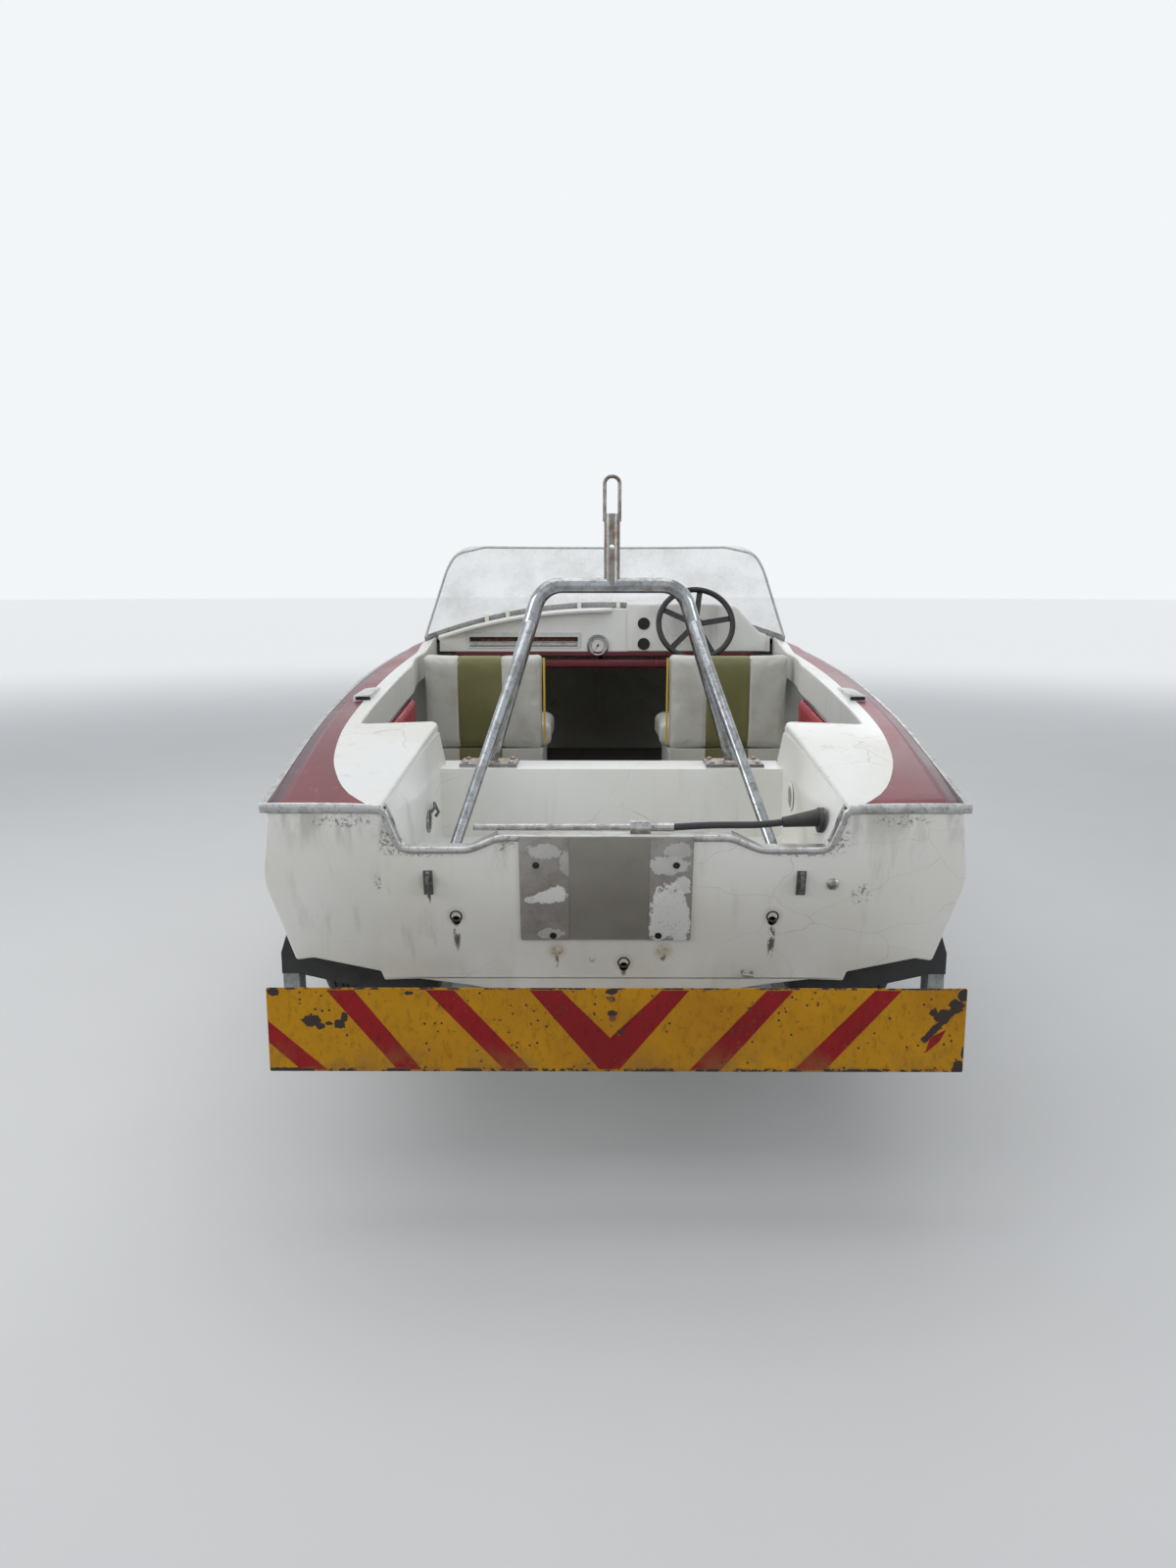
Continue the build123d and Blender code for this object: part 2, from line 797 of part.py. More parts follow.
def screen_band(thick, spread=0):
    """Curved strip in plan, carried up along the screen's rake."""
    lift = (foredeck_crown_z - screen_low_z) * tan(radians(screen_rake))
    end_fwd = screen_fwd - 100 + lift
    mid_fwd = screen_fwd + screen_bulge + lift
    with BuildPart(mode=Mode.PRIVATE) as band:
        with BuildSketch(Plane.XY.offset(screen_low_z)):
            with BuildLine():
                a = (screen_half + spread, place(end_fwd))
                b = (-screen_half - spread, place(end_fwd))
                ThreePointArc(a, (0, place(mid_fwd)), b)
                Line(b, (b[0], b[1] + thick))
                ThreePointArc((b[0], b[1] + thick), (0, place(mid_fwd) + thick), (a[0], a[1] + thick))
                Line((a[0], a[1] + thick), a)
            make_face()
        extrude(amount=620, dir=screen_dir)
    return band.part


top_flat_half = 510
corner_x, corner_z = 668, 1545
with BuildPart() as windscreen:
    add(screen_band(screen_thick))
    with BuildSketch(across(screen_fwd + 900)):
        with BuildLine():
            ThreePointArc(
                (-860, deck_crown(860) + 10), (0, foredeck_crown_z + 10), (860, deck_crown(860) + 10),
            )
            Line((860, deck_crown(860) + 10), (screen_half, deck_crown(screen_half) + 24))
            Line((screen_half, deck_crown(screen_half) + 24), (corner_x, corner_z))
            shoulder = (screen_shoulder_x, screen_shoulder_z)
            ThreePointArc((corner_x, corner_z), shoulder, (top_flat_half, screen_top_z))
            Line((top_flat_half, screen_top_z), (-top_flat_half, screen_top_z))
            shoulder = (-screen_shoulder_x, screen_shoulder_z)
            ThreePointArc((-top_flat_half, screen_top_z), shoulder, (-corner_x, corner_z))
            Line((-corner_x, corner_z), (-screen_half, deck_crown(screen_half) + 24))
            Line((-screen_half, deck_crown(screen_half) + 24), (-860, deck_crown(860) + 10))
        make_face()
    extrude(amount=1800, mode=Mode.INTERSECT)
save(windscreen, "windscreen")

with BuildPart() as screen_base:
    add(screen_band(screen_channel, 3))
    with BuildSketch(across(screen_fwd + 900)):
        with BuildLine():
            low = -3
            high = screen_channel_tall
            side_z = deck_crown(860)
            ThreePointArc((-860, side_z + low), (0, foredeck_crown_z + low), (860, side_z + low))
            Line((860, side_z + low), (860, side_z + high))
            ThreePointArc((860, side_z + high), (0, foredeck_crown_z + high), (-860, side_z + high))
            Line((-860, side_z + high), (-860, side_z + low))
        make_face()
    extrude(amount=1800, mode=Mode.INTERSECT)
    add(foredeck.part, mode=Mode.SUBTRACT)
    add(windscreen.part, mode=Mode.SUBTRACT)
save(screen_base, "screen_base")

# Seats: box, cushion and back on each side of the walkway
box_top_z = seat_top_z - cushion_thick
recline = tan(radians(seat_recline))
front = seat_back_fwd + seat_back_thick + cushion_long
with BuildPart() as seat_boxes:
    for _, side in sides:
        add(mirrored_block(
            side, (seat_in_x + 15, seat_out_x - 15), (seat_back_fwd, front - 90),
            (floor_z + floor_thick, box_top_z),
        ))
        add(mirrored_block(
            side, (seat_in_x + 30, seat_out_x - 30), (seat_back_fwd - 1, front - 105),
            (floor_z + floor_thick - 1, box_top_z - 15),
        ), mode=Mode.SUBTRACT)
    add(hull_room(fit_gap), mode=Mode.INTERSECT)
save(seat_boxes, "seat_boxes")

for name, side in sides:
    with BuildPart() as seat_cushion:
        add(mirrored_block(
            side, (seat_in_x - 30, seat_out_x), (seat_back_fwd + seat_back_thick + 8, front - 60),
            (box_top_z + fit_gap, seat_top_z),
        ))
        fillet(seat_cushion.edges(), 22)
    save(seat_cushion, f"seat_cushion_{name}")
    tall = seat_back_z - box_top_z
    back_outline = [
        (seat_back_fwd, box_top_z + fit_gap),
        (seat_back_fwd + seat_back_thick, box_top_z + fit_gap),
        (seat_back_fwd + seat_back_thick - tall * recline * 0.5, seat_back_z),
        (seat_back_fwd - tall * recline * 0.5 + 20, seat_back_z),
    ]
    with BuildPart() as seat_back:
        add(side_bar(back_outline, sorted((side * seat_in_x, side * seat_out_x))))
        fillet(seat_back.edges().filter_by(Axis.X), 22)
    save(seat_back, f"seat_back_{name}")

# Padded rolls under the coamings
pad_deep = 165
pad_rows = (side_deck_rows[1], side_deck_rows[2])
for name, side in sides:
    rows = []
    for distance, inner_x, crown, rise, lip in pad_rows:
        top_z = station_at(distance).sheer_z + rise - lip - fit_gap
        outline = [(inner_x - 14, top_z - pad_deep), (inner_x + 16, top_z - pad_deep)]
        outline += [(inner_x + 16, top_z), (inner_x - 2, top_z), (inner_x - 14, top_z - 16)]
        rows.append((distance, [(side * x, z) for x, z in outline]))
    with BuildPart() as side_pad:
        add(section_loft(rows))
    save(side_pad, f"side_pad_{name}")

# Slotted vent plates on the side decks
vent_fwd = 1000
vent_x = 752
vent_tall = 58
vent_deck_z = station_at(vent_fwd).sheer_z
with BuildPart() as deck_vents:
    for _, side in sides:
        add(mirrored_block(
            side, (vent_x - 30, vent_x + 34), (vent_fwd - 95, vent_fwd + 115),
            (vent_deck_z + 20, vent_deck_z + vent_tall),
        ))
        add(section_loft([deck_section(side, row) for row in side_deck_rows]), mode=Mode.SUBTRACT)
    split(bisect_by=Plane.XY.offset(vent_deck_z + 36), keep=Keep.TOP)
with BuildPart() as vents_on_top:
    add(deck_vents.solids().sort_by(SortBy.VOLUME)[-len(sides):])
save(vents_on_top, "deck_vents")

# Steering ram lying on the motor pad, its cable and the boot in the well's side
nut_radius = 14
ram_fwd = 48
ram_z = pad_z + nut_radius + fit_gap
cable_size = 17
cable_points = (
    (400, 100, 932),
    (350, 97, 926),
    (285, 82, 929),
    (210, 62, 933),
    (138, ram_fwd, ram_z),
)
with BuildPart() as steering_ram:
    add(rod((-330, ram_fwd, ram_z), (40, ram_fwd, ram_z), 8))
    with BuildSketch(Plane.YZ.offset(36)):
        with Locations((place(ram_fwd), ram_z)):
            RegularPolygon(nut_radius, 6, major_radius=False)
    extrude(amount=48)
    add(rod((80, ram_fwd, ram_z), (cable_points[-1][0], ram_fwd, ram_z), 10))
save(steering_ram, "steering_ram")

route = [Vector(x, place(distance), z) for x, distance, z in cable_points]
radii = []
for before, at, after in zip(route, route[1:], route[2:]):
    turn = (at - before).get_angle(after - at)
    shorter = min((at - before).length, (after - at).length)
    radii.append(0.45 * shorter / tan(radians(turn / 2)))
print("steering cable radii", [round(r) for r in radii])
with BuildPart() as steering_cable:
    with BuildLine() as cable_path:
        FilletPolyline(*route, radius=radii)
    with BuildSketch(Plane(origin=cable_path.line @ 0, z_dir=cable_path.line % 0)):
        Circle(cable_size / 2)
    sweep(path=cable_path.line)
save(steering_cable, "steering_cable")
print("steering cable length", round(cable_path.wires()[0].length, 1))

# Rubber boot where the cable leaves the well's side
boot_run = 90
boot_plane = Plane(origin=route[0], z_dir=(cable_path.line % 0) * -1)
with BuildPart() as steering_boot:
    with BuildSketch(boot_plane):
        Circle(12)
    with BuildSketch(boot_plane.offset(boot_run)):
        Circle(22)
    loft()
    add(rod((484, 106, 936), (520, 106, 936), 30))
    boot_room = [(well_half_fore - 26, well_floor_z), (well_half_aft + 60, well_floor_z)]
    boot_room += [(x, bulkhead_top_z) for x, _ in reversed(boot_room)]
    add(section_bar(boot_room, 0, 60), mode=Mode.SUBTRACT)
    add(splash_well.part, mode=Mode.SUBTRACT)
    split(bisect_by=Plane.YZ.offset(500), keep=Keep.BOTTOM)
save(steering_boot, "steering_boot")

# Rings in the well's sides
ring_rows = ((-1, 330, 885, 30), (1, 400, 935, 34))
with BuildPart() as well_rings:
    for side, distance, z, radius in ring_rows:
        share = distance / bulkhead_fwd
        half = well_half_aft + (well_half_fore - well_half_aft) * share
        with BuildPart(mode=Mode.PRIVATE) as ring:
            add(rod((side * (half - 5), distance, z), (side * (half + 6), distance, z), radius))
            add(rod((side * (half - 9), distance, z), (side * (half + 9), distance, z), radius - 9),
                mode=Mode.SUBTRACT)
            add(splash_well.part, mode=Mode.SUBTRACT)
        add(ring.part.solids().sort_by(Axis.X)[-1 if side < 0 else 0])
save(well_rings, "well_rings")

# Bow eye on the stem and cleat on the foredeck
eye_z = 800
stem_low, stem_high = stations[-2], stations[-1]
eye_fwd = stem_low.fwd + (eye_z - stem_low.keel_z) * (
    (stem_high.fwd - stem_low.fwd) / (stem_high.keel_z - stem_low.keel_z)
)
with BuildPart() as bow_eye:
    add(bent_rod(
        ((0, eye_fwd - 30, eye_z + 18), (0, eye_fwd + 42, eye_z + 18), (0, eye_fwd + 42, eye_z - 18),
         (0, eye_fwd - 60, eye_z - 18)), 14, 5,
    ))
    add(hull_solid(fit_gap), mode=Mode.SUBTRACT)
save(bow_eye, "bow_eye")

cleat_fwd = 4380
with BuildPart() as bow_cleat:
    add(block((-16, 16), (cleat_fwd - 50, cleat_fwd + 50), (foredeck_crown_z - 100, foredeck_crown_z - 62)))
    add(foredeck.part, mode=Mode.SUBTRACT)
    split(bisect_by=Plane.XY.offset(foredeck_crown_z - 76), keep=Keep.TOP)
    add(rod((0, cleat_fwd - 95, foredeck_crown_z - 58), (0, cleat_fwd + 95, foredeck_crown_z - 58), 9))
save(bow_cleat, "bow_cleat")

# Trailer chassis: rails, drawbar, cross members, springs' hangers and cradle outriggers
wheel_z = tyre_size / 2
rail_in = rail_half - rail_wide / 2
rail_out_x = rail_half + rail_wide / 2
rail_top_z = rail_z + rail_tall
cross_fwds = (480, 1040, 2080, 2920)
roller_fwds = tuple(distance + 70 for distance in cross_fwds)
tail_fwd = (-150, -100)
drawbar_end = coupling_reach - coupling_long
with BuildPart() as trailer_frame:
    for _, side in sides:
        rail = [(rail_out_x, tail_fwd[0]), (rail_out_x, rail_straight_end), (75, rail_join + 20)]
        rail += [(35, rail_join + 20), (rail_in, rail_straight_end - 10), (rail_in, tail_fwd[0])]
        add(plan_bar([(side * x, distance) for x, distance in rail], (rail_z, rail_top_z)))
        outrig_fwd = (cradle_fwd + 10, cradle_fwd + cradle_long - 10)
        add(mirrored_block(side, (rail_half, cradle_half), outrig_fwd, (rail_z + 10, rail_top_z - 20)))
        add(mirrored_block(side, (cradle_half - 40, cradle_half), outrig_fwd, (rail_z + 10, cradle_low_z)))
        for ends in (-1, 1):
            eye_at = axle_fwd + ends * spring_half_span
            for x in (rail_in - 6, rail_out_x):
                add(mirrored_block(
                    side, (x, x + 6), (eye_at - 25, eye_at + 25), (rail_z - 62, rail_z + 20),
                ))
    for distance in cross_fwds:
        add(block((-rail_out_x, rail_out_x), (distance - cross_wide / 2, distance + cross_wide / 2),
                  (rail_z - cross_tall, rail_z)))
    add(block((-board_half + 40, board_half - 40), tail_fwd, (rail_z + 20, rail_top_z)))
    for _, side in sides:
        add(mirrored_block(side, (560, 600), (-board_reach + board_thick, tail_fwd[0]),
                           (rail_z + 30, board_top_z - 20)))
    add(block((-drawbar_wide / 2, drawbar_wide / 2), (drawbar_start, drawbar_end), (rail_z, rail_top_z)))
save(trailer_frame, "trailer_frame")

# Warning board across the tail
with BuildPart() as hazard_board:
    board_fwd = (-board_reach, -board_reach + board_thick)
    add(block((-board_half, board_half), board_fwd, (board_low_z, board_top_z)))
save(hazard_board, "hazard_board")

# Cradle arms that carry the hull's quarters
cradle_outline = [(rail_in, rail_top_z), (rail_in, 565), (600, 600), (778, 640), (cradle_half - 15, 646)]
cradle_outline += [(cradle_half, 600), (cradle_half, cradle_low_z), (cradle_half - 40, cradle_low_z)]
cradle_outline += [(600, 505), (rail_out_x + 30, rail_top_z)]
with BuildPart() as cradle_arms:
    for _, side in sides:
        arm = [(side * x, z) for x, z in cradle_outline]
        add(section_bar(arm, cradle_fwd, cradle_fwd + cradle_long))
    add(hull_solid(fit_gap), mode=Mode.SUBTRACT)
save(cradle_arms, "cradle_arms")

# Keel rollers and the brackets that hold them ahead of the cross members
with BuildPart() as keel_rollers:
    for distance in roller_fwds:
        z = station_at(distance).keel_z - fit_gap - roller_size / 2
        add(rod((-roller_long / 2, distance, z), (roller_long / 2, distance, z), roller_size / 2))
        add(rod((-roller_long, distance, z), (roller_long, distance, z), roller_pin / 2 + fit_gap),
            mode=Mode.SUBTRACT)
save(keel_rollers, "keel_rollers")

with BuildPart() as roller_brackets:
    for cross, distance in zip(cross_fwds, roller_fwds):
        z = station_at(distance).keel_z - fit_gap - roller_size / 2
        for _, side in sides:
            cheek = [(cross + cross_wide / 2, rail_z - cross_tall), (distance + 12, z - 20)]
            cheek += [(distance + 12, z + 14), (distance - 12, z + 14), (cross + cross_wide / 2, rail_z)]
            x_span = sorted(side * x for x in (roller_long / 2 + 1, roller_long / 2 + 7))
            add(side_bar(cheek, x_span))
        add(rod((-roller_long / 2 - 10, distance, z), (roller_long / 2 + 10, distance, z), roller_pin / 2))
save(roller_brackets, "roller_brackets")

# Axle beam with its stubs
stub_end = wheel_half_track + 45
with BuildPart() as axle:
    add(block((-795, 795), (axle_fwd - axle_beam / 2, axle_fwd + axle_beam / 2),
              (wheel_z - axle_beam / 2, wheel_z + axle_beam / 2)))
    add(rod((-stub_end, axle_fwd, wheel_z), (stub_end, axle_fwd, wheel_z), stub_size / 2))
save(axle, "axle")

# Leaf springs over the axle, between their hanger plates
spring_wide = rail_wide - 2 * fit_gap
spring_low_z = wheel_z + axle_beam / 2
eye_pin_z = spring_low_z + spring_drop + spring_thick / 2
with BuildPart() as springs:
    for _, side in sides:
        low = rail_half - spring_wide / 2 if side > 0 else -rail_half - spring_wide / 2
        ends = (place(axle_fwd - spring_half_span), place(axle_fwd + spring_half_span))
        with BuildSketch(Plane.YZ.offset(low)):
            with BuildLine():
                low_z, high_z = eye_pin_z - 9, eye_pin_z - 1
                ThreePointArc((ends[0], low_z), (place(axle_fwd), spring_low_z), (ends[1], low_z))
                Line((ends[1], low_z), (ends[1], high_z))
                middle = (place(axle_fwd), spring_low_z + spring_thick)
                ThreePointArc((ends[1], high_z), middle, (ends[0], high_z))
                Line((ends[0], high_z), (ends[0], low_z))
            make_face()
        extrude(amount=spring_wide)
        for end in (-1, 1):
            eye_at = axle_fwd + end * spring_half_span
            add(rod((low, eye_at, eye_pin_z), (low + spring_wide, eye_at, eye_pin_z), 14))
save(springs, "springs")

# Road wheels: tyre and rim on each stub, and the guards over them
for name, side in sides:
    middle = (side * wheel_half_track, place(axle_fwd), wheel_z)
    plane = Plane(origin=middle, x_dir=(0, 1, 0), z_dir=(side, 0, 0))
    axis = Axis(middle, (side, 0, 0))
    section = Plane(origin=middle, x_dir=(side, 0, 0), z_dir=(0, -side, 0))
    half = tyre_wide / 2
    with BuildPart() as tyre:
        with BuildSketch(section):
            with BuildLine():
                r_out, r_rim = tyre_size / 2, rim_size / 2
                Polyline((-52, r_rim), (-half + 8, r_rim + 14), (-half, r_rim + 50), (-half + 3, r_out - 36),
                         (-half + 18, r_out - 8), (-half + 42, r_out), (half - 42, r_out),
                         (half - 18, r_out - 8), (half - 3, r_out - 36), (half, r_rim + 50),
                         (half - 8, r_rim + 14), (52, r_rim), close=True)
            make_face()
        revolve(axis=axis)
    save(tyre, f"tyre_{name}")
    with BuildPart() as rim:
        with BuildSketch(section):
            with BuildLine():
                r = rim_size / 2 - fit_gap
                Polyline((-52, r), (52, r), (52, r - 8), (24, r - 22), (-20, r - 22), (-44, r - 10),
                         (-52, r - 10), close=True)
            make_face()
        revolve(axis=axis)
        with BuildSketch(section):
            with BuildLine():
                bore = stub_size / 2 + 0.05
                Polyline((-50, bore), (-50, 36), (6, 36), (6, 60), (20, 90), (20, r - 21), (26, r - 21),
                         (26, 88), (12, 58), (12, 30), (stub_end - wheel_half_track + 12, 28),
                         (stub_end - wheel_half_track + 12, 0), (stub_end - wheel_half_track + 1, 0),
                         (stub_end - wheel_half_track + 1, bore), close=True)
            make_face()
        revolve(axis=axis)
    save(rim, f"rim_{name}")
    guard_in = wheel_half_track - half - 15
    guard_out = wheel_half_track + half + 6
    guard_r = tyre_size / 2 + guard_gap
    with BuildPart() as mudguard:
        with BuildSketch(plane.offset(guard_in - wheel_half_track)):
            Circle(guard_r + guard_thick)
            Circle(guard_r, mode=Mode.SUBTRACT)
        extrude(amount=guard_out - guard_in)
        faces = [guard_in - wheel_half_track, guard_out - wheel_half_track - guard_thick]
        with BuildSketch(*(plane.offset(reach) for reach in faces)):
            Circle(guard_r + guard_thick)
            Circle(guard_r - guard_skirt, mode=Mode.SUBTRACT)
        extrude(amount=guard_thick)
        split(bisect_by=Plane.XY.offset(wheel_z + 110), keep=Keep.TOP)
        add(hull_solid(guard_hull_gap), mode=Mode.SUBTRACT)
    with BuildPart() as mudguard_stay:
        add(mudguard.part)
        for end in (-1, 1):
            stay_fwd = axle_fwd + end * 240
            span = (stay_fwd - 16, stay_fwd + 16)
            add(mirrored_block(side, (rail_out_x, guard_in), span, (rail_z + 30, rail_z + 36)))
            add(mirrored_block(side, (guard_in - 5, guard_in), span, (rail_z + 10, rail_z + 60)))
    save(mudguard_stay, f"mudguard_{name}")

# Jockey wheel: clamped tube with its crank, sliding leg, turning fork and wheel
jockey_z = jockey_wheel_size / 2
crown_z = jockey_wheel_size + 12
leg_low_z = crown_z + 10
tube_low_z = rail_z + 15
tube_high_z = leg_low_z + 425
bore_r = jockey_leg_size / 2 + jockey_bore_gap
clamp_half = 35
clamp_low_z, clamp_high_z = rail_z + 18, rail_top_z - 12
with BuildPart() as jockey_tube_part:
    post = (jockey_x, jockey_fwd)
    grip = (jockey_x, jockey_fwd + 104)
    crank_z = tube_high_z + 30
    add(rod((*post, tube_low_z), (*post, tube_high_z + 14), jockey_tube / 2))
    add(block(
        (drawbar_wide / 2, jockey_x), (jockey_fwd - clamp_half, jockey_fwd + clamp_half),
        (clamp_low_z, clamp_high_z),
    ))
    add(rod((*post, tube_low_z - 1), (*post, tube_high_z), bore_r), mode=Mode.SUBTRACT)
    add(rod((*post, tube_high_z + 14), (*post, crank_z + 4), 9))
    add(rod((*post, crank_z), (jockey_x, jockey_fwd + 110, crank_z), 6))
    add(rod((*grip, crank_z), (*grip, crank_z + 60), 12))
save(jockey_tube_part, "jockey_tube")

with BuildPart() as jockey_leg:
    leg_high_z = tube_high_z - jockey_travel - 5
    add(rod((*post, leg_low_z), (*post, leg_high_z), jockey_leg_size / 2))
save(jockey_leg, "jockey_leg")

wheel_fwd = jockey_fwd - jockey_trail
with BuildPart() as jockey_fork:
    add(rod((jockey_x, jockey_fwd, crown_z), (jockey_x, jockey_fwd, leg_low_z - 0.5), 42))
    for _, side in sides:
        cheek = [(jockey_fwd + 24, crown_z + 0.2), (jockey_fwd - 36, crown_z + 0.2)]
        cheek += [(wheel_fwd - 16, jockey_z - 16), (wheel_fwd + 16, jockey_z - 16)]
        low = jockey_x + side * 33 - 2.5
        add(side_bar(cheek, (low, low + 5)))
    add(rod((jockey_x - 38, wheel_fwd, jockey_z), (jockey_x + 38, wheel_fwd, jockey_z), 8))
save(jockey_fork, "jockey_fork")

with BuildPart() as jockey_wheel:
    middle = (jockey_x, place(wheel_fwd), jockey_z)
    with BuildSketch(Plane(origin=middle, x_dir=(1, 0, 0), z_dir=(0, -1, 0))):
        with BuildLine():
            r, w = jockey_wheel_size / 2, jockey_wheel_wide / 2
            Polyline((-w, 8.3), (-w, 30), (-12, 34), (-12, 58), (-w, 62), (-w, r - 10), (-w + 10, r), (w - 10, r),
                     (w, r - 10), (w, 62), (12, 58), (12, 34), (w, 30), (w, 8.3), close=True)
        make_face()
    revolve(axis=Axis(middle, (1, 0, 0)))
save(jockey_wheel, "jockey_wheel")

# Winch post on the drawbar with its bow stop, the winch and its strap
stop_z = 1035
with BuildPart() as winch_post:
    half = winch_post_wide / 2
    add(block((-half, half), (post_fwd, post_fwd + winch_post_wide), (rail_top_z, stop_z + 30)))
    add(block(
        (-post_foot_half, post_foot_half), (post_fwd - post_foot_aft, post_fwd + post_foot_fore),
        (rail_top_z, rail_top_z + post_foot_thick),
    ))
    add(block((-20, 20), (bow.fwd + 52, post_fwd), (stop_z - 20, stop_z + 20)))
save(winch_post, "winch_post")

with BuildPart() as bow_stop:
    add(block((-60, 60), (bow.fwd - 60, bow.fwd + 52), (stop_z - 35, stop_z + 35)))
    add(hull_solid(fit_gap), mode=Mode.SUBTRACT)
    split(bisect_by=across(bow.fwd - 24), keep=Keep.BOTTOM)
save(bow_stop, "bow_stop")

drum_fwd = post_fwd - 62
with BuildPart() as winch:
    for x in (-38, 34):
        add(block((x, x + 4), (drum_fwd - 34, post_fwd), (winch_z - 50, winch_z + 50)))
    add(block((-38, 38), (post_fwd - 5, post_fwd), (winch_z - 50, winch_z + 50)))
    add(rod((-37, drum_fwd, winch_z), (112, drum_fwd, winch_z), 10))
    add(rod((104, drum_fwd, winch_z), (104, drum_fwd - 10, winch_z - 150), 6))
    add(rod((104, drum_fwd - 10, winch_z - 150), (170, drum_fwd - 10, winch_z - 150), 11))
save(winch, "winch")

with BuildPart() as winch_strap:
    add(rod((-30, drum_fwd, winch_z), (30, drum_fwd, winch_z), 32))
    add(rod((-40, drum_fwd, winch_z), (40, drum_fwd, winch_z), 10 + fit_gap), mode=Mode.SUBTRACT)
    strap_end = eye_fwd + 32
    add(block((-24, 24), (strap_end, drum_fwd - 10), (winch_z + 27, winch_z + 31)))
    add(block((-24, 24), (strap_end, strap_end + 5), (winch_z - 8, winch_z + 31)))
    add(bow_eye.part, mode=Mode.SUBTRACT)
save(winch_strap, "winch_strap")

# Ball coupling on the drawbar's end, with its handle
ball_r = 25.4
socket_r = ball_r + 0.2
socket_deep = 42
ball_fwd = coupling_reach - 52
with BuildPart() as coupling:
    with BuildSketch(Plane.XY.offset(rail_z + 5)):
        with BuildLine():
            tail, nose = place(drawbar_end - 90), place(coupling_reach)
            sleeve, step = drawbar_wide / 2 + 6, place(drawbar_end)
            Polyline(
                (-38, nose - 38), (-38, step + 30), (-sleeve, step), (-sleeve, tail),
                (sleeve, tail), (sleeve, step), (38, step + 30), (38, nose - 38),
            )
            ThreePointArc((38, nose - 38), (0, nose), (-38, nose - 38))
        make_face()
    extrude(amount=rail_tall)
    add(block(
        (-drawbar_wide / 2 - fit_gap, drawbar_wide / 2 + fit_gap), (drawbar_start, drawbar_end),
        (rail_z - 5, rail_top_z),
    ), mode=Mode.SUBTRACT)
    add(rod((0, ball_fwd, rail_z + 4), (0, ball_fwd, rail_z + 5 + socket_deep), socket_r), mode=Mode.SUBTRACT)
    add(block((-12, 12), (coupling_reach - 130, coupling_reach - 40), (rail_top_z + 5, rail_top_z + 20)))
    add(rod((0, coupling_reach - 120, rail_top_z + 16), (0, coupling_reach - 190, rail_top_z + 40), 9))
    add(block(
        (-post_foot_half - fit_gap, post_foot_half + fit_gap),
        (post_fwd - post_foot_aft - fit_gap, post_fwd + post_foot_fore + fit_gap),
        (rail_top_z - fit_gap, rail_top_z + rail_tall),
    ), mode=Mode.SUBTRACT)
    add(block(
        (0, jockey_x), (jockey_fwd - clamp_half - fit_gap, jockey_fwd + clamp_half + fit_gap),
        (clamp_low_z - fit_gap, clamp_high_z + fit_gap),
    ), mode=Mode.SUBTRACT)
save(coupling, "coupling")
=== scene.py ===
import math

import bpy
import bmesh
import numpy as np
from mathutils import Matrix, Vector


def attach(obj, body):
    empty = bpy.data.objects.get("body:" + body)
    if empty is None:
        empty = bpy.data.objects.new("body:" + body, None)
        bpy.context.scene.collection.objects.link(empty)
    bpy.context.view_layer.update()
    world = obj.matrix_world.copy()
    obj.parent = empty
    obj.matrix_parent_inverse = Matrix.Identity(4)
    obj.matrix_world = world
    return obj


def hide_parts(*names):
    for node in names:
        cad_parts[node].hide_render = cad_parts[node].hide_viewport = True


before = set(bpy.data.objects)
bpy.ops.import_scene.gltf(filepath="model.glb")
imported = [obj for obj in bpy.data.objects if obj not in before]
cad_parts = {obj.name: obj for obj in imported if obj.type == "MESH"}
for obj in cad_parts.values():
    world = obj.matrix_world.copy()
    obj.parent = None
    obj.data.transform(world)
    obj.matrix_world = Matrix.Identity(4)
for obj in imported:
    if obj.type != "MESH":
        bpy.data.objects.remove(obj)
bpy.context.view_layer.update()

# Places, in metres: y is measured forward of the transom's top edge
TRANSOM_Y = -2.7
TRANSOM_TOP = 0.985
TILT = math.radians(12)
RAKE = math.tan(TILT)
HULL = "boat_on_trailer"
WHEEL = "steering_wheel_body"
SIDES = (("port", -1), ("starboard", 1))


def place(distance):
    """Frame y of a distance forward of the transom's top edge."""
    return TRANSOM_Y + distance


def transom_fwd(z):
    """Distance forward of the transom's outer face at a height."""
    return (TRANSOM_TOP - z) * RAKE


def smooth_curve(knots, values):
    """Smooth line through tabled values, as a function."""
    xs, ys = np.array(knots, float), np.array(values, float)
    slopes = np.diff(ys) / np.diff(xs)
    tangents = np.empty(len(xs))
    tangents[0], tangents[-1] = slopes[0], slopes[-1]
    for i in range(1, len(xs) - 1):
        a, b = slopes[i - 1], slopes[i]
        tangents[i] = 0 if a * b <= 0 else 2 * a * b / (a + b)

    def value(x):
        i = int(np.clip(np.searchsorted(xs, x) - 1, 0, len(xs) - 2))
        h = xs[i + 1] - xs[i]
        t = (x - xs[i]) / h
        a = (1 + 2 * t) * (1 - t) ** 2 * ys[i] + t * (1 - t) ** 2 * h * tangents[i]
        b = t * t * (3 - 2 * t) * ys[i + 1] + t * t * (t - 1) * h * tangents[i + 1]
        return float(a + b)

    return value


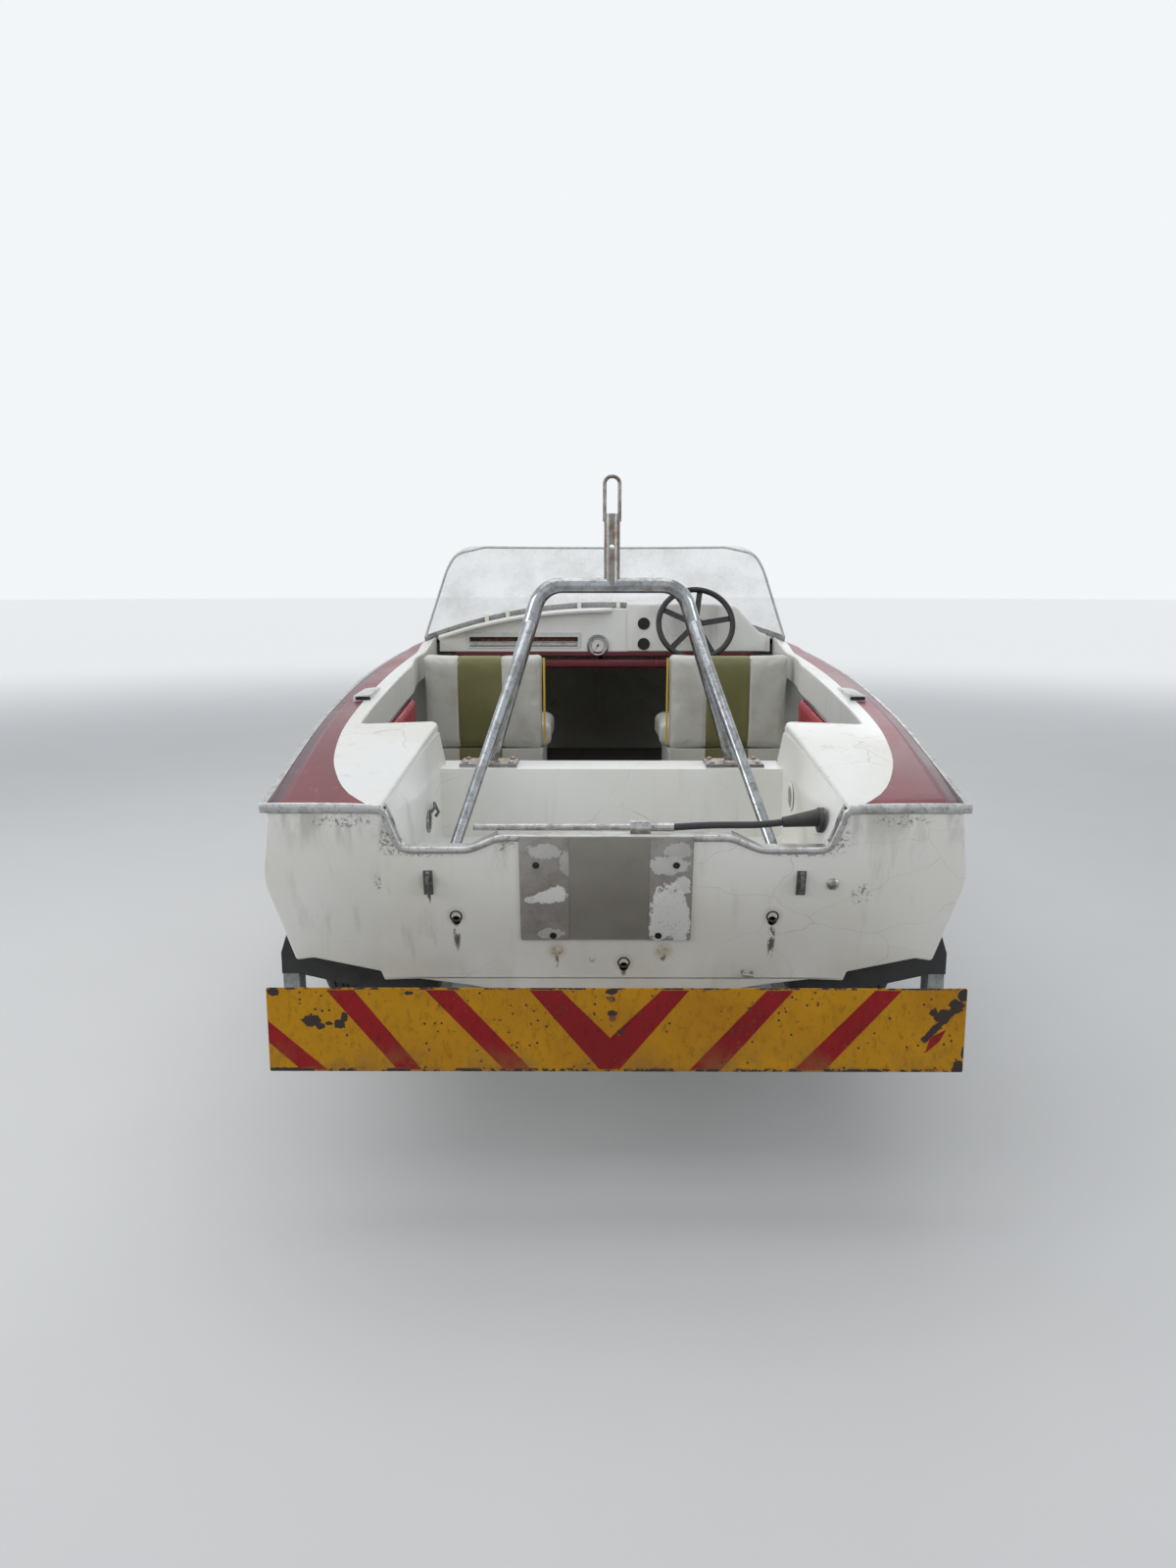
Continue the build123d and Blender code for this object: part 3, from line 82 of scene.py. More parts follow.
# Materials
class Shader:
    """A node tree with short ways to add and join its nodes."""

    def __init__(self, name):
        self.material = bpy.data.materials.new(name)
        self.material.use_nodes = True
        self.nodes = self.material.node_tree.nodes
        self.links = self.material.node_tree.links
        self.surface = self.nodes["Principled BSDF"]
        self.place = self.node("ShaderNodeTexCoord").outputs["Object"]

    def node(self, kind, sockets=None, **values):
        made = self.nodes.new(kind)
        for key, value in values.items():
            if hasattr(made, key):
                setattr(made, key, value)
        for key, value in (sockets or {}).items():
            self.put(made.inputs[key], value)
        return made

    def put(self, socket, value):
        if hasattr(value, "is_linked"):
            self.links.new(value, socket)
        else:
            socket.default_value = value

    def stretch(self, scale, shift=(0, 0, 0)):
        made = self.node("ShaderNodeMapping", {"Vector": self.place, "Scale": scale, "Location": shift})
        return made.outputs["Vector"]

    def noise(self, scale, detail=4.0, rough=0.55, where=None):
        made = self.node("ShaderNodeTexNoise", {
            "Vector": where or self.place, "Scale": scale, "Detail": detail, "Roughness": rough})
        return made.outputs["Fac"]

    def jittered(self, where, scale, amount):
        """A place moved about by noise, so that lines drawn from it wander."""
        jitter = self.node("ShaderNodeTexNoise", {"Vector": self.place, "Scale": scale}).outputs["Color"]
        scaled = self.node("ShaderNodeVectorMath", {0: jitter, "Scale": amount}, operation="SCALE")
        return self.node("ShaderNodeVectorMath", {0: where, 1: scaled.outputs[0]}, operation="ADD").outputs[0]

    def cells(self, scale, where=None, feature="F1"):
        sockets = {"Vector": where or self.place, "Scale": scale}
        return self.node("ShaderNodeTexVoronoi", sockets, feature=feature).outputs["Distance"]

    def ramp(self, value, low, high, start=0.0, end=1.0):
        """Smooth step of a value from low to high."""
        sockets = {"Value": value, "From Min": low, "From Max": high, "To Min": start, "To Max": end}
        return self.node("ShaderNodeMapRange", sockets, interpolation_type="SMOOTHSTEP").outputs["Result"]

    def math(self, operation, a, b=0.0):
        return self.node("ShaderNodeMath", {0: a, 1: b}, operation=operation).outputs[0]

    def times(self, a, b):
        return self.math("MULTIPLY", a, b)

    def plus(self, a, b):
        return self.math("ADD", a, b)

    def minus(self, a, b):
        return self.math("SUBTRACT", a, b)

    def most(self, a, b):
        return self.math("MAXIMUM", a, b)

    def axis(self, letter, vector=None):
        return self.node("ShaderNodeSeparateXYZ", {0: vector or self.place}).outputs[letter]

    def upward(self):
        """How far the surface faces up, from -1 to 1."""
        return self.axis("Z", self.node("ShaderNodeNewGeometry").outputs["Normal"])

    def mix(self, share, a, b):
        a, b = (value if hasattr(value, "is_linked") else (*value, 1.0) for value in (a, b))
        return self.node("ShaderNodeMix", {"Factor": share, 6: a, 7: b}, data_type="RGBA").outputs[2]

    def tint(self, base, colour, share, strength):
        """The base with a share of a colour over it."""
        return self.mix(self.times(share, strength), base, colour)

    def bump(self, height, distance, strength=1.0):
        made = self.node("ShaderNodeBump", {"Height": height, "Distance": distance, "Strength": strength})
        self.links.new(made.outputs["Normal"], self.surface.inputs["Normal"])

    def finish(self, colour, rough=0.5, **fixed):
        self.put(self.surface.inputs["Base Color"], colour)
        self.put(self.surface.inputs["Roughness"], rough)
        for key, value in fixed.items():
            self.surface.inputs[key.replace("_", " ")].default_value = value
        return self.material


def spot(s, x, z, radius_x, radius_z):
    """Soft patch round a point of the stern, from 0 outside to 1 inside."""
    dx = s.math("DIVIDE", s.minus(s.axis("X"), x), radius_x)
    dz = s.math("DIVIDE", s.minus(s.axis("Z"), z), radius_z)
    far = s.plus(s.times(dx, dx), s.times(dz, dz))
    return s.ramp(far, 1.0, 0.15)


# Rust dribbles on the transom: x, top z, half-width, length
DRIBBLES = ((-0.376, 0.712, 0.010, 0.10), (0.376, 0.712, 0.011, 0.12), (0.024, 0.588, 0.008, 0.04),
            (-0.138, 0.62, 0.006, 0.05), (0.118, 0.62, 0.010, 0.03), (-0.437, 0.80, 0.006, 0.06))
# Lichen on the transom, under the trim and the notch: x, z, half-width, half-height
LICHEN = ((-0.515, 0.905, 0.045, 0.050), (0.515, 0.905, 0.040, 0.045), (-0.43, 0.874, 0.085, 0.012),
          (0.43, 0.874, 0.085, 0.012), (-0.63, 0.955, 0.090, 0.022), (0.66, 0.955, 0.080, 0.018),
          (-0.255, 0.895, 0.030, 0.020), (0.58, 0.770, 0.030, 0.035), (-0.555, 0.800, 0.010, 0.030))


def gelcoat(name, tint=(0.80, 0.80, 0.765), stern=False):
    """Aged white gelcoat: blotches, vertical grime runs, specks and hairline cracks."""
    s = Shader(name)
    blotch = s.noise(2.3, 5)
    colour = s.mix(s.ramp(blotch, 0.35, 0.72), tint, tuple(c * k for c, k in zip(tint, (0.93, 0.91, 0.86))))
    runs = s.noise(26, 6, 0.62, s.stretch((1, 1, 0.055)))
    veil = s.noise(5, 3, 0.5, s.stretch((1, 1, 0.5), (3, 1, 7)))
    grime = s.times(s.ramp(runs, 0.53, 0.78), s.ramp(veil, 0.38, 0.66))
    colour = s.tint(colour, (0.40, 0.37, 0.31), grime, 0.55)
    specks = s.ramp(s.cells(95), 0.13, 0.05)
    where = s.ramp(s.noise(7, 3), 0.52, 0.66)
    colour = s.tint(colour, (0.22, 0.20, 0.17), s.times(specks, where), 0.6)
    crack = s.cells(3.6, s.jittered(s.stretch((1.0, 1.0, 1.7), (0.4, 0, 0.1)), 9, 0.12), "DISTANCE_TO_EDGE")
    thin = s.times(s.ramp(crack, 0.006, 0.001), s.ramp(s.noise(2.1, 2), 0.5, 0.6))
    colour = s.tint(colour, (0.30, 0.28, 0.25), thin, 0.30 if stern else 0.50)
    if stern:
        under_trim = s.times(s.ramp(s.axis("Z"), 0.86, 0.965), s.ramp(runs, 0.42, 0.60))
        colour = s.tint(colour, (0.27, 0.24, 0.20), under_trim, 0.42)
        low = s.times(s.ramp(s.axis("Z"), 0.66, 0.56), s.ramp(veil, 0.3, 0.6))
        colour = s.tint(colour, (0.50, 0.44, 0.34), low, 0.35)
        flecks = s.ramp(s.noise(105, 8, 0.75), 0.51, 0.58)
        for x, z, wide, tall in LICHEN:
            share = s.times(spot(s, x, z, wide, tall), flecks)
            colour = s.tint(colour, (0.080, 0.072, 0.058), share, 0.75)
        drips = s.noise(70, 6, 0.7, s.stretch((1, 1, 0.45)))
        for x, z, wide, long in DRIBBLES:
            run = s.times(spot(s, x, z - long / 2, wide, long / 2), s.ramp(drips, 0.42, 0.50))
            colour = s.tint(colour, (0.075, 0.058, 0.044), run, 0.92)
            halo = spot(s, x, z, 0.030, 0.030)
            colour = s.tint(colour, (0.45, 0.36, 0.25), halo, 0.35)
    s.bump(s.noise(14, 3), 0.002, 0.25)
    rough = s.ramp(blotch, 0.3, 0.7, 0.30, 0.46)
    return s.finish(colour, rough, Coat_Weight=0.15, Coat_Roughness=0.25)


def deck_red(name, base, faded, dark):
    """Sun-faded burgundy gelcoat, chalky in patches and darker in others."""
    s = Shader(name)
    patch = s.noise(3.2, 6, 0.6, s.stretch((1.4, 0.6, 1)))
    colour = s.mix(s.ramp(patch, 0.42, 0.70), base, faded)
    colour = s.mix(s.ramp(s.noise(9, 5, 0.6), 0.60, 0.78, 0, 0.6), colour, dark)
    scuff = s.noise(60, 4, 0.6, s.stretch((1, 0.22, 1)))
    colour = s.mix(s.ramp(scuff, 0.60, 0.74, 0, 0.35), colour, tuple(c * 1.5 + 0.05 for c in faded))
    s.bump(s.noise(22, 3), 0.0015, 0.3)
    rough = s.ramp(patch, 0.35, 0.75, 0.30, 0.48)
    return s.finish(colour, rough, Specular_IOR_Level=0.35, Coat_Weight=0.10, Coat_Roughness=0.14)


def metal(name, bright, faded, rough=(0.2, 0.4), rust=0.0, rust_low=False, scale=30, grime=0.0):
    """Metal with dulled patches, grime in its pits and rust."""
    s = Shader(name)
    patch = s.noise(scale, 6, 0.62)
    colour = s.mix(s.ramp(patch, 0.40, 0.68), bright, faded)
    if grime:
        pit = s.ramp(s.noise(scale * 4, 4, 0.6), 0.52, 0.70, 0, grime)
        colour = s.mix(pit, colour, (0.10, 0.09, 0.08))
    if rust:
        bloom = s.ramp(s.noise(scale * 1.7, 6, 0.66), 0.50, 0.66)
        if rust_low:
            bloom = s.times(bloom, s.ramp(s.upward(), 0.15, -0.7, 0.12, 1.0))
        colour = s.tint(colour, (0.23, 0.12, 0.06), bloom, rust)
    s.bump(patch, 0.0008, 0.3)
    return s.finish(colour, s.ramp(patch, 0.3, 0.7, *rough), Metallic=1.0)


def dull(name, colour, other, rough=(0.45, 0.7), scale=25, bump=0.001, dust=0.0, **fixed):
    """Paint, rubber or plastic with mottling and a veil of dust."""
    s = Shader(name)
    mottle = s.noise(scale, 5, 0.6)
    shade = s.mix(s.ramp(mottle, 0.35, 0.7), colour, other)
    if dust:
        veil = s.times(s.ramp(s.upward(), -0.2, 0.9), s.ramp(mottle, 0.35, 0.65, 0.3, 1.0))
        shade = s.tint(shade, (0.36, 0.33, 0.28), veil, dust)
    s.bump(s.noise(scale * 6, 3), bump, 0.4)
    return s.finish(shade, s.ramp(mottle, 0.3, 0.7, *rough), **fixed)


GRAIN = 420


def vinyl(name, colour, other):
    """Padded vinyl: fine leather grain, soft soiling and a low sheen."""
    s = Shader(name)
    soil = s.noise(7, 5, 0.6)
    shade = s.mix(s.ramp(soil, 0.42, 0.75), colour, other)
    cracks = s.ramp(s.cells(GRAIN, feature="DISTANCE_TO_EDGE"), 0.0, 0.25)
    s.bump(cracks, 0.0004, 0.35)
    return s.finish(shade, s.ramp(soil, 0.3, 0.7, 0.38, 0.55), Coat_Weight=0.1, Coat_Roughness=0.4)


CHIP_DARK = (0.040, 0.030, 0.026)
# Chips of the warning board: x, z, half-width, half-height
CHIPS = (
    (-0.664, 0.553, 0.026, 0.017), (-0.645, 0.541, 0.016, 0.010), (-0.604, 0.545, 0.016, 0.013),
    (-0.626, 0.547, 0.012, 0.006), (-0.592, 0.562, 0.010, 0.014), (-0.745, 0.619, 0.016, 0.012),
    (-0.722, 0.439, 0.052, 0.008), (-0.010, 0.620, 0.017, 0.009), (-0.008, 0.571, 0.014, 0.009),
    (0.010, 0.528, 0.010, 0.007), (0.705, 0.563, 0.018, 0.016), (0.688, 0.574, 0.012, 0.010),
    (0.752, 0.614, 0.016, 0.018), (0.751, 0.446, 0.022, 0.020), (0.762, 0.480, 0.010, 0.020),
    (0.735, 0.593, 0.016, 0.014), (0.715, 0.573, 0.018, 0.012), (-0.45, 0.617, 0.012, 0.006),
)
# Scrapes of the board: the x and z of both ends, half-width
SCRAPES = (
    ((0.662, 0.500), (0.758, 0.604), 0.011), ((0.690, 0.560), (0.720, 0.585), 0.006),
    ((0.730, 0.566), (0.760, 0.588), 0.006),
)


def scrape(s, start, end, width):
    """Soft line between two points of the board, from 0 beside it to 1 on it."""
    (xa, za), (xb, zb) = start, end
    long = math.hypot(xb - xa, zb - za)
    ux, uz = (xb - xa) / long, (zb - za) / long
    dx, dz = s.minus(s.axis("X"), xa), s.minus(s.axis("Z"), za)
    along = s.plus(s.times(dx, ux), s.times(dz, uz))
    off = s.math("ABSOLUTE", s.plus(s.times(dx, -uz), s.times(dz, ux)))
    wavy = s.plus(off, s.times(s.minus(s.noise(38, 4, 0.6), 0.5), 0.016))
    within = s.times(s.ramp(along, 0.0, 0.02), s.ramp(along, long, long - 0.02))
    return s.times(s.ramp(wavy, width, width * 0.4), within)


def board_paint(name, colour, other):
    """Sign paint chipped through to dark metal, with rust round the chips."""
    s = Shader(name)
    shade = s.mix(s.ramp(s.noise(4, 5), 0.35, 0.7), colour, other)
    grime = s.noise(70, 6, 0.7, s.stretch((1, 1, 0.6)))
    shade = s.mix(s.ramp(grime, 0.48, 0.74, 0, 0.55), shade, tuple(c * 0.36 for c in other))
    low = s.times(s.ramp(s.axis("Z"), 0.52, 0.44), s.ramp(s.noise(14, 5, 0.6), 0.4, 0.62))
    shade = s.tint(shade, (0.20, 0.11, 0.03), low, 0.5)
    specks = s.times(s.ramp(s.cells(62), 0.24, 0.12), s.ramp(s.noise(9, 4), 0.46, 0.56))
    fine = s.times(s.ramp(s.noise(150, 5, 0.75), 0.62, 0.68), s.ramp(s.noise(5, 3), 0.42, 0.60))
    specks = s.most(specks, fine)
    few = s.times(s.ramp(s.noise(42, 7, 0.72), 0.64, 0.69), s.ramp(s.noise(6, 3), 0.48, 0.60))
    edge = s.most(s.ramp(s.axis("Z"), 0.449, 0.438), s.ramp(s.axis("Z"), 0.620, 0.630))
    edge = s.times(edge, s.ramp(s.noise(34, 6, 0.7), 0.44, 0.56))
    chips = s.most(s.most(few, edge), s.times(specks, 0.85))
    rag = s.ramp(s.noise(75, 9, 0.75), 0.36, 0.66, 0.06, 0.86)
    for x, z, wide, tall in CHIPS:
        inside = s.ramp(s.minus(spot(s, x, z, wide, tall), rag), -0.04, 0.06)
        chips = s.most(chips, inside)
    for start, end, width in SCRAPES:
        chips = s.most(chips, scrape(s, start, end, width))
    shade = s.mix(s.ramp(chips, 0.05, 0.55, 0, 0.65), shade, (0.24, 0.09, 0.025))
    shade = s.mix(s.ramp(chips, 0.42, 0.6), shade, CHIP_DARK)
    s.bump(chips, 0.0006, -0.5)
    return s.finish(shade, s.ramp(chips, 0, 1, 0.45, 0.75), Specular_IOR_Level=0.22)


# White paint left on the motor plate: x, z, half-width, half-height, strength
SCARS = (
    (0.128, 0.730, 0.055, 0.088, 1.0), (0.105, 0.690, 0.030, 0.060, 1.0),
    (0.155, 0.700, 0.032, 0.070, 1.0), (0.125, 0.845, 0.060, 0.030, 0.55),
    (0.148, 0.880, 0.040, 0.028, 0.4), (-0.158, 0.762, 0.040, 0.022, 1.0),
    (-0.135, 0.772, 0.030, 0.028, 1.0), (-0.195, 0.757, 0.026, 0.012, 0.8),
    (-0.165, 0.880, 0.050, 0.024, 0.4), (-0.150, 0.668, 0.040, 0.018, 0.5),
    (-0.110, 0.850, 0.022, 0.040, 0.35), (0.160, 0.792, 0.026, 0.030, 0.8),
)


def scarred_plate():
    """Aluminium plate with patches of white paint left where a pad was torn off."""
    s = Shader("plate_scarred")
    mottle = s.noise(30, 6, 0.62)
    bare = s.mix(s.ramp(mottle, 0.35, 0.7), (0.345, 0.325, 0.30), (0.27, 0.25, 0.23))
    bare = s.mix(s.ramp(s.noise(11, 5, 0.65), 0.52, 0.66, 0, 0.4), bare, (0.27, 0.19, 0.14))
    torn = s.ramp(s.noise(58, 9, 0.72), 0.36, 0.66, 0.0, 0.75)
    frayed = s.ramp(s.noise(210, 6, 0.7), 0.40, 0.62, 0.0, 0.22)
    rag = s.plus(torn, frayed)
    patches = None
    for x, z, wide, tall, most in SCARS:
        inside = s.minus(spot(s, x, z, wide, tall), rag)
        here = s.ramp(inside, -0.02, 0.06, 0, most)
        patches = here if patches is None else s.most(patches, here)
    colour = s.mix(patches, bare, (0.76, 0.76, 0.74))
    speck = s.times(s.ramp(s.cells(150), 0.22, 0.12), s.ramp(s.noise(20, 3), 0.4, 0.55))
    colour = s.tint(colour, (0.10, 0.075, 0.055), speck, 0.7)
    s.bump(patches, 0.0006, 0.7)
    return s.finish(colour, s.ramp(patches, 0, 1, 0.50, 0.7), Metallic=0.3)


def clear_sheet(name):
    """Clear acrylic, hazed and speckled by age."""
    s = Shader(name)
    haze = s.noise(4.5, 6, 0.65)
    specks = s.ramp(s.cells(55), 0.16, 0.05)
    foggy = s.ramp(haze, 0.35, 0.8, 0.10, 0.34)
    amount = s.math("MINIMUM", s.plus(foggy, s.times(specks, 0.25)), 0.8)
    s.put(s.surface.inputs["Alpha"], amount)
    s.material.surface_render_method = "BLENDED"
    shade = s.mix(haze, (0.62, 0.66, 0.66), (0.78, 0.79, 0.76))
    return s.finish(shade, 0.18, Coat_Weight=0.8, Coat_Roughness=0.06)


WHITE = gelcoat("white_gelcoat_aged")
STERN = gelcoat("white_gelcoat_stern", (0.79, 0.785, 0.74), stern=True)
RED = deck_red("burgundy_deck", (0.150, 0.008, 0.016), (0.235, 0.032, 0.045), (0.070, 0.004, 0.009))
PURPLE = deck_red("purple_flange", (0.085, 0.022, 0.038), (0.17, 0.080, 0.105), (0.045, 0.012, 0.022))
ALUMINIUM = metal("dulled_aluminium", (0.50, 0.50, 0.49), (0.36, 0.36, 0.35), (0.32, 0.5), grime=0.42)
PLATE = metal("motor_plate_metal", (0.40, 0.38, 0.36), (0.30, 0.29, 0.27), (0.42, 0.6), scale=14, grime=0.35)
# Chrome's tone darkened as a painted reflection of dark surroundings; its rust and grime are real.
CHROME = metal("chrome_darkened_painted_reflection", (0.37, 0.39, 0.41), (0.22, 0.23, 0.23), (0.10, 0.24), 0.85, True, 24, 0.35)
RUSTY_CHROME = metal("rusty_chrome", (0.24, 0.235, 0.22), (0.13, 0.115, 0.095), (0.22, 0.42), 0.60, False, 26)
STEEL = metal("stainless", (0.43, 0.43, 0.42), (0.26, 0.26, 0.25), (0.25, 0.42), 0.25, False, 60, grime=0.4)
# Red vinyl of the valance, darkened as painted shade for the shadow under the dashboard.
SHADED_VINYL = vinyl("red_vinyl_painted_shade", (0.115, 0.008, 0.016), (0.075, 0.006, 0.011))
DARK_PAINT = dull("cradle_black", (0.009, 0.010, 0.012), (0.018, 0.018, 0.018), (0.4, 0.6), 30, dust=0.06)
WEATHERED = dull("weathered_alloy", (0.15, 0.165, 0.15), (0.065, 0.075, 0.07), (0.4, 0.6), 90, Metallic=0.5)
ZINC = dull("galvanised_steel", (0.30, 0.31, 0.31), (0.20, 0.21, 0.21), (0.5, 0.68), 40, Metallic=0.6)
BLACK_METAL = dull("black_painted_metal", (0.022, 0.022, 0.022), (0.05, 0.045, 0.04), (0.4, 0.65), 30,
                   dust=0.3)
RUBBER = dull("black_rubber", (0.018, 0.018, 0.018), (0.035, 0.033, 0.03), (0.5, 0.75), 35, dust=0.18)
HOSE = dull("cable_jacket", (0.012, 0.012, 0.013), (0.022, 0.022, 0.022), (0.32, 0.5), 50)
TYRE = dull("tyre_rubber", (0.020, 0.020, 0.020), (0.038, 0.036, 0.033), (0.62, 0.85), 30, dust=0.35)
BLACK = dull("black_plastic", (0.013, 0.013, 0.014), (0.025, 0.025, 0.025), (0.3, 0.45), 60, dust=0.05,
             Specular_IOR_Level=0.3)
RIM = dull("rim_paint", (0.52, 0.53, 0.53), (0.40, 0.40, 0.39), (0.35, 0.55), 22, dust=0.2, Metallic=0.3)
CREAM_VINYL = vinyl("white_vinyl", (0.64, 0.635, 0.58), (0.49, 0.475, 0.41))
OLIVE_VINYL = vinyl("olive_vinyl", (0.165, 0.160, 0.055), (0.215, 0.195, 0.075))
RED_VINYL = vinyl("red_vinyl", (0.36, 0.018, 0.035), (0.24, 0.012, 0.022))
YELLOW = vinyl("yellow_piping", (0.72, 0.50, 0.05), (0.55, 0.38, 0.06))
# Cockpit floor paint, darkened as painted shade for the dim, enclosed cockpit; its dust is real.
FLOOR_PAINT_SHADED = dull("cockpit_floor_paint_shaded", (0.115, 0.105, 0.092), (0.060, 0.055, 0.050), (0.6, 0.8), 12,
                   dust=0.3)
BOARD_YELLOW = board_paint("warning_yellow", (0.47, 0.225, 0.002), (0.38, 0.165, 0.003))
BOARD_RED = board_paint("warning_red", (0.27, 0.006, 0.008), (0.19, 0.005, 0.007))
WEBBING = dull("strap_webbing", (0.03, 0.035, 0.06), (0.05, 0.055, 0.08), (0.7, 0.9), 120, 0.002)
ACRYLIC = clear_sheet("aged_acrylic")
DIAL = dull("dial_face", (0.72, 0.72, 0.68), (0.66, 0.65, 0.60), (0.3, 0.4), 20)
EDGE = dull("screen_edge_trim", (0.62, 0.65, 0.63), (0.50, 0.52, 0.49), (0.25, 0.4), 30)
VENT_WHITE = dull("vent_plastic", (0.66, 0.67, 0.65), (0.56, 0.57, 0.55), (0.35, 0.5), 22, dust=0.2)
BROWN_RUBBER = dull("drain_ring_rubber", (0.022, 0.018, 0.015), (0.075, 0.058, 0.045), (0.5, 0.75), 120)
SEALED_GREY = dull("inspection_disc", (0.30, 0.31, 0.30), (0.20, 0.21, 0.20), (0.4, 0.6), 40)
FILLER = dull("sealant", (0.60, 0.57, 0.48), (0.36, 0.25, 0.15), (0.5, 0.7), 90)
PLATE_DARK = dull("plate_bare", (0.265, 0.250, 0.215), (0.225, 0.212, 0.185), (0.42, 0.55), 9, 0.0006,
                  Metallic=0.25)
RUSTY_PLATE = metal("foot_plate_steel", (0.36, 0.33, 0.30), (0.24, 0.20, 0.17), (0.45, 0.65), 0.8, False,
                    40, 0.5)
PLATE_SCARRED = scarred_plate()
RUST = dull("rusty_slot", (0.17, 0.065, 0.028), (0.05, 0.022, 0.014), (0.7, 0.9), 55, 0.003)


# Mesh tools
MERGE = 0.00002


def mesh(name, points, faces, materials, body=HULL, slots=None, sharp=38, replaces=()):
    """A piece from points and faces, smooth but for its sharp edges."""
    data = bpy.data.meshes.new(name)
    data.from_pydata([tuple(map(float, p)) for p in points], [], faces)
    made = bpy.data.objects.new(name, data)
    bpy.context.collection.objects.link(made)
    for material in materials if isinstance(materials, (list, tuple)) else [materials]:
        data.materials.append(material)
    if slots is not None:
        for face, index in zip(data.polygons, slots):
            face.material_index = index
    clean(made, sharp)
    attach(made, body)
    if replaces:
        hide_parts(*replaces)
    return made


def clean(made, sharp=38):
    """Joined, outward-facing and smooth up to an angle."""
    work = bmesh.new()
    work.from_mesh(made.data)
    bmesh.ops.remove_doubles(work, verts=work.verts, dist=MERGE)
    bmesh.ops.recalc_face_normals(work, faces=work.faces)
    limit = math.radians(sharp)
    for face in work.faces:
        face.smooth = True
    for edge in work.edges:
        if len(edge.link_faces) == 2 and edge.calc_face_angle(0) > limit:
            edge.smooth = False
    work.to_mesh(made.data)
    work.free()


def apply(made):
    """Applies the modifiers to the mesh."""
    depsgraph = bpy.context.evaluated_depsgraph_get()
    data = bpy.data.meshes.new_from_object(made.evaluated_get(depsgraph))
    made.modifiers.clear()
    made.data = data


def add_tool(made, kind, **settings):
    """Adds a modifier with its settings."""
    tool = made.modifiers.new(kind.lower(), kind)
    for key, value in settings.items():
        setattr(tool, key, value)
    return tool


def bevel(made, width, segments=3):
    """Rounds the edges of more than 30 degrees."""
    add_tool(made, "BEVEL", width=width, segments=segments, limit_method="ANGLE",
             angle_limit=math.radians(30), use_clamp_overlap=True)
    apply(made)
    clean(made)
    return made


def thicken(made, thickness, offset=-1, sharp=38):
    """Gives a skin its thickness, inward unless the offset is 1."""
    add_tool(made, "SOLIDIFY", thickness=thickness, offset=offset, use_even_offset=False)
    apply(made)
    clean(made, sharp)


def end_faces(count, total):
    """First and last rows of a closed skin as faces, for rows of as many points."""
    return [tuple(range(count)), tuple(range(total - count, total))[::-1]]


def grid_faces(rows, columns, closed=False, start=0):
    """Quads between rows of points that have as many columns."""
    faces = []
    for i in range(rows - 1):
        for j in range(columns if closed else columns - 1):
            k = (j + 1) % columns
            faces.append((start + i * columns + j, start + i * columns + k,
                          start + (i + 1) * columns + k, start + (i + 1) * columns + j))
    return faces


def grid(name, rows, materials, closed=False, slots=None, **rest):
    """A skin through rows of points; slots gives each column's material."""
    points = [p for row in rows for p in row]
    columns = len(rows[0])
    faces = grid_faces(len(rows), columns, closed)
    per_row = columns if closed else columns - 1
    marks = None if slots is None else [slots[i % per_row] for i in range(len(faces))]
    return mesh(name, points, faces, materials, slots=marks, **rest)


def corner(before, at, after, radius, most, steps):
    """Points of a rounded corner that takes at most a share of its two sides."""
    before, at, after = (np.array(p, float) for p in (before, at, after))
    a, b = before - at, after - at
    la, lb = np.linalg.norm(a), np.linalg.norm(b)
    reach = min(radius, most * la, most * lb)
    p, q = at + a / la * reach, at + b / lb * reach
    return [(1 - t) ** 2 * p + 2 * t * (1 - t) * at + t * t * q for t in np.linspace(0, 1, steps + 1)]


def soften(points, radii, steps=3):
    """Rounds the corners of an open outline, the same number of points for each."""
    made = [np.array(points[0], float)]
    for before, at, after, radius in zip(points, points[1:], points[2:], radii):
        made += corner(before, at, after, radius, 0.45, steps)
    return made + [np.array(points[-1], float)]


def rounded(outline, radii, steps=4):
    """A closed outline with its corners rounded."""
    if not isinstance(radii, (list, tuple)):
        radii = [radii] * len(outline)
    made = []
    befores, afters = outline[-1:] + outline[:-1], outline[1:] + outline[:1]
    for at, radius, before, after in zip(outline, radii, befores, afters):
        made += [tuple(p) for p in corner(before, at, after, radius, 0.48, steps)]
    return made


def box_outline(x0, z0, x1, z1):
    """Closed outline of a box, anticlockwise from its low corner."""
    return [(x0, z0), (x1, z0), (x1, z1), (x0, z1)]


def round_turn(count):
    """Angles that divide a turn."""
    return [2 * math.pi * k / count for k in range(count)]


def prism(name, outline, low, high, axis, materials, round_by=0.0, segments=3, **rest):
    """A flat outline carried between two values of an axis: x, y or z."""
    def point(a, b, c):
        return {"x": (c, a, b), "y": (a, c, b), "z": (a, b, c)}[axis]
    count = len(outline)
    points = [point(a, b, low) for a, b in outline] + [point(a, b, high) for a, b in outline]
    faces = [tuple(range(count)), tuple(range(2 * count - 1, count - 1, -1))]
    faces += [(i, (i + 1) % count, count + (i + 1) % count, count + i) for i in range(count)]
    made = mesh(name, points, faces, materials, **rest)
    return bevel(made, round_by, segments) if round_by else made


def block(name, low, high, materials, round_by=0.002, segments=2, **rest):
    """A rounded box between two corners."""
    outline = box_outline(low[0], low[1], high[0], high[1])
    return prism(name, outline, low[2], high[2], "z", materials, round_by, segments, **rest)


def square_to(along):
    """A direction of length 1 with two more square to it."""
    along = Vector(along).normalized()
    side = along.cross(Vector((0, 0, 1)))
    if side.length < 0.1:
        side = Vector((1, 0, 0))
    side.normalize()
    return along, side, side.cross(along).normalized()


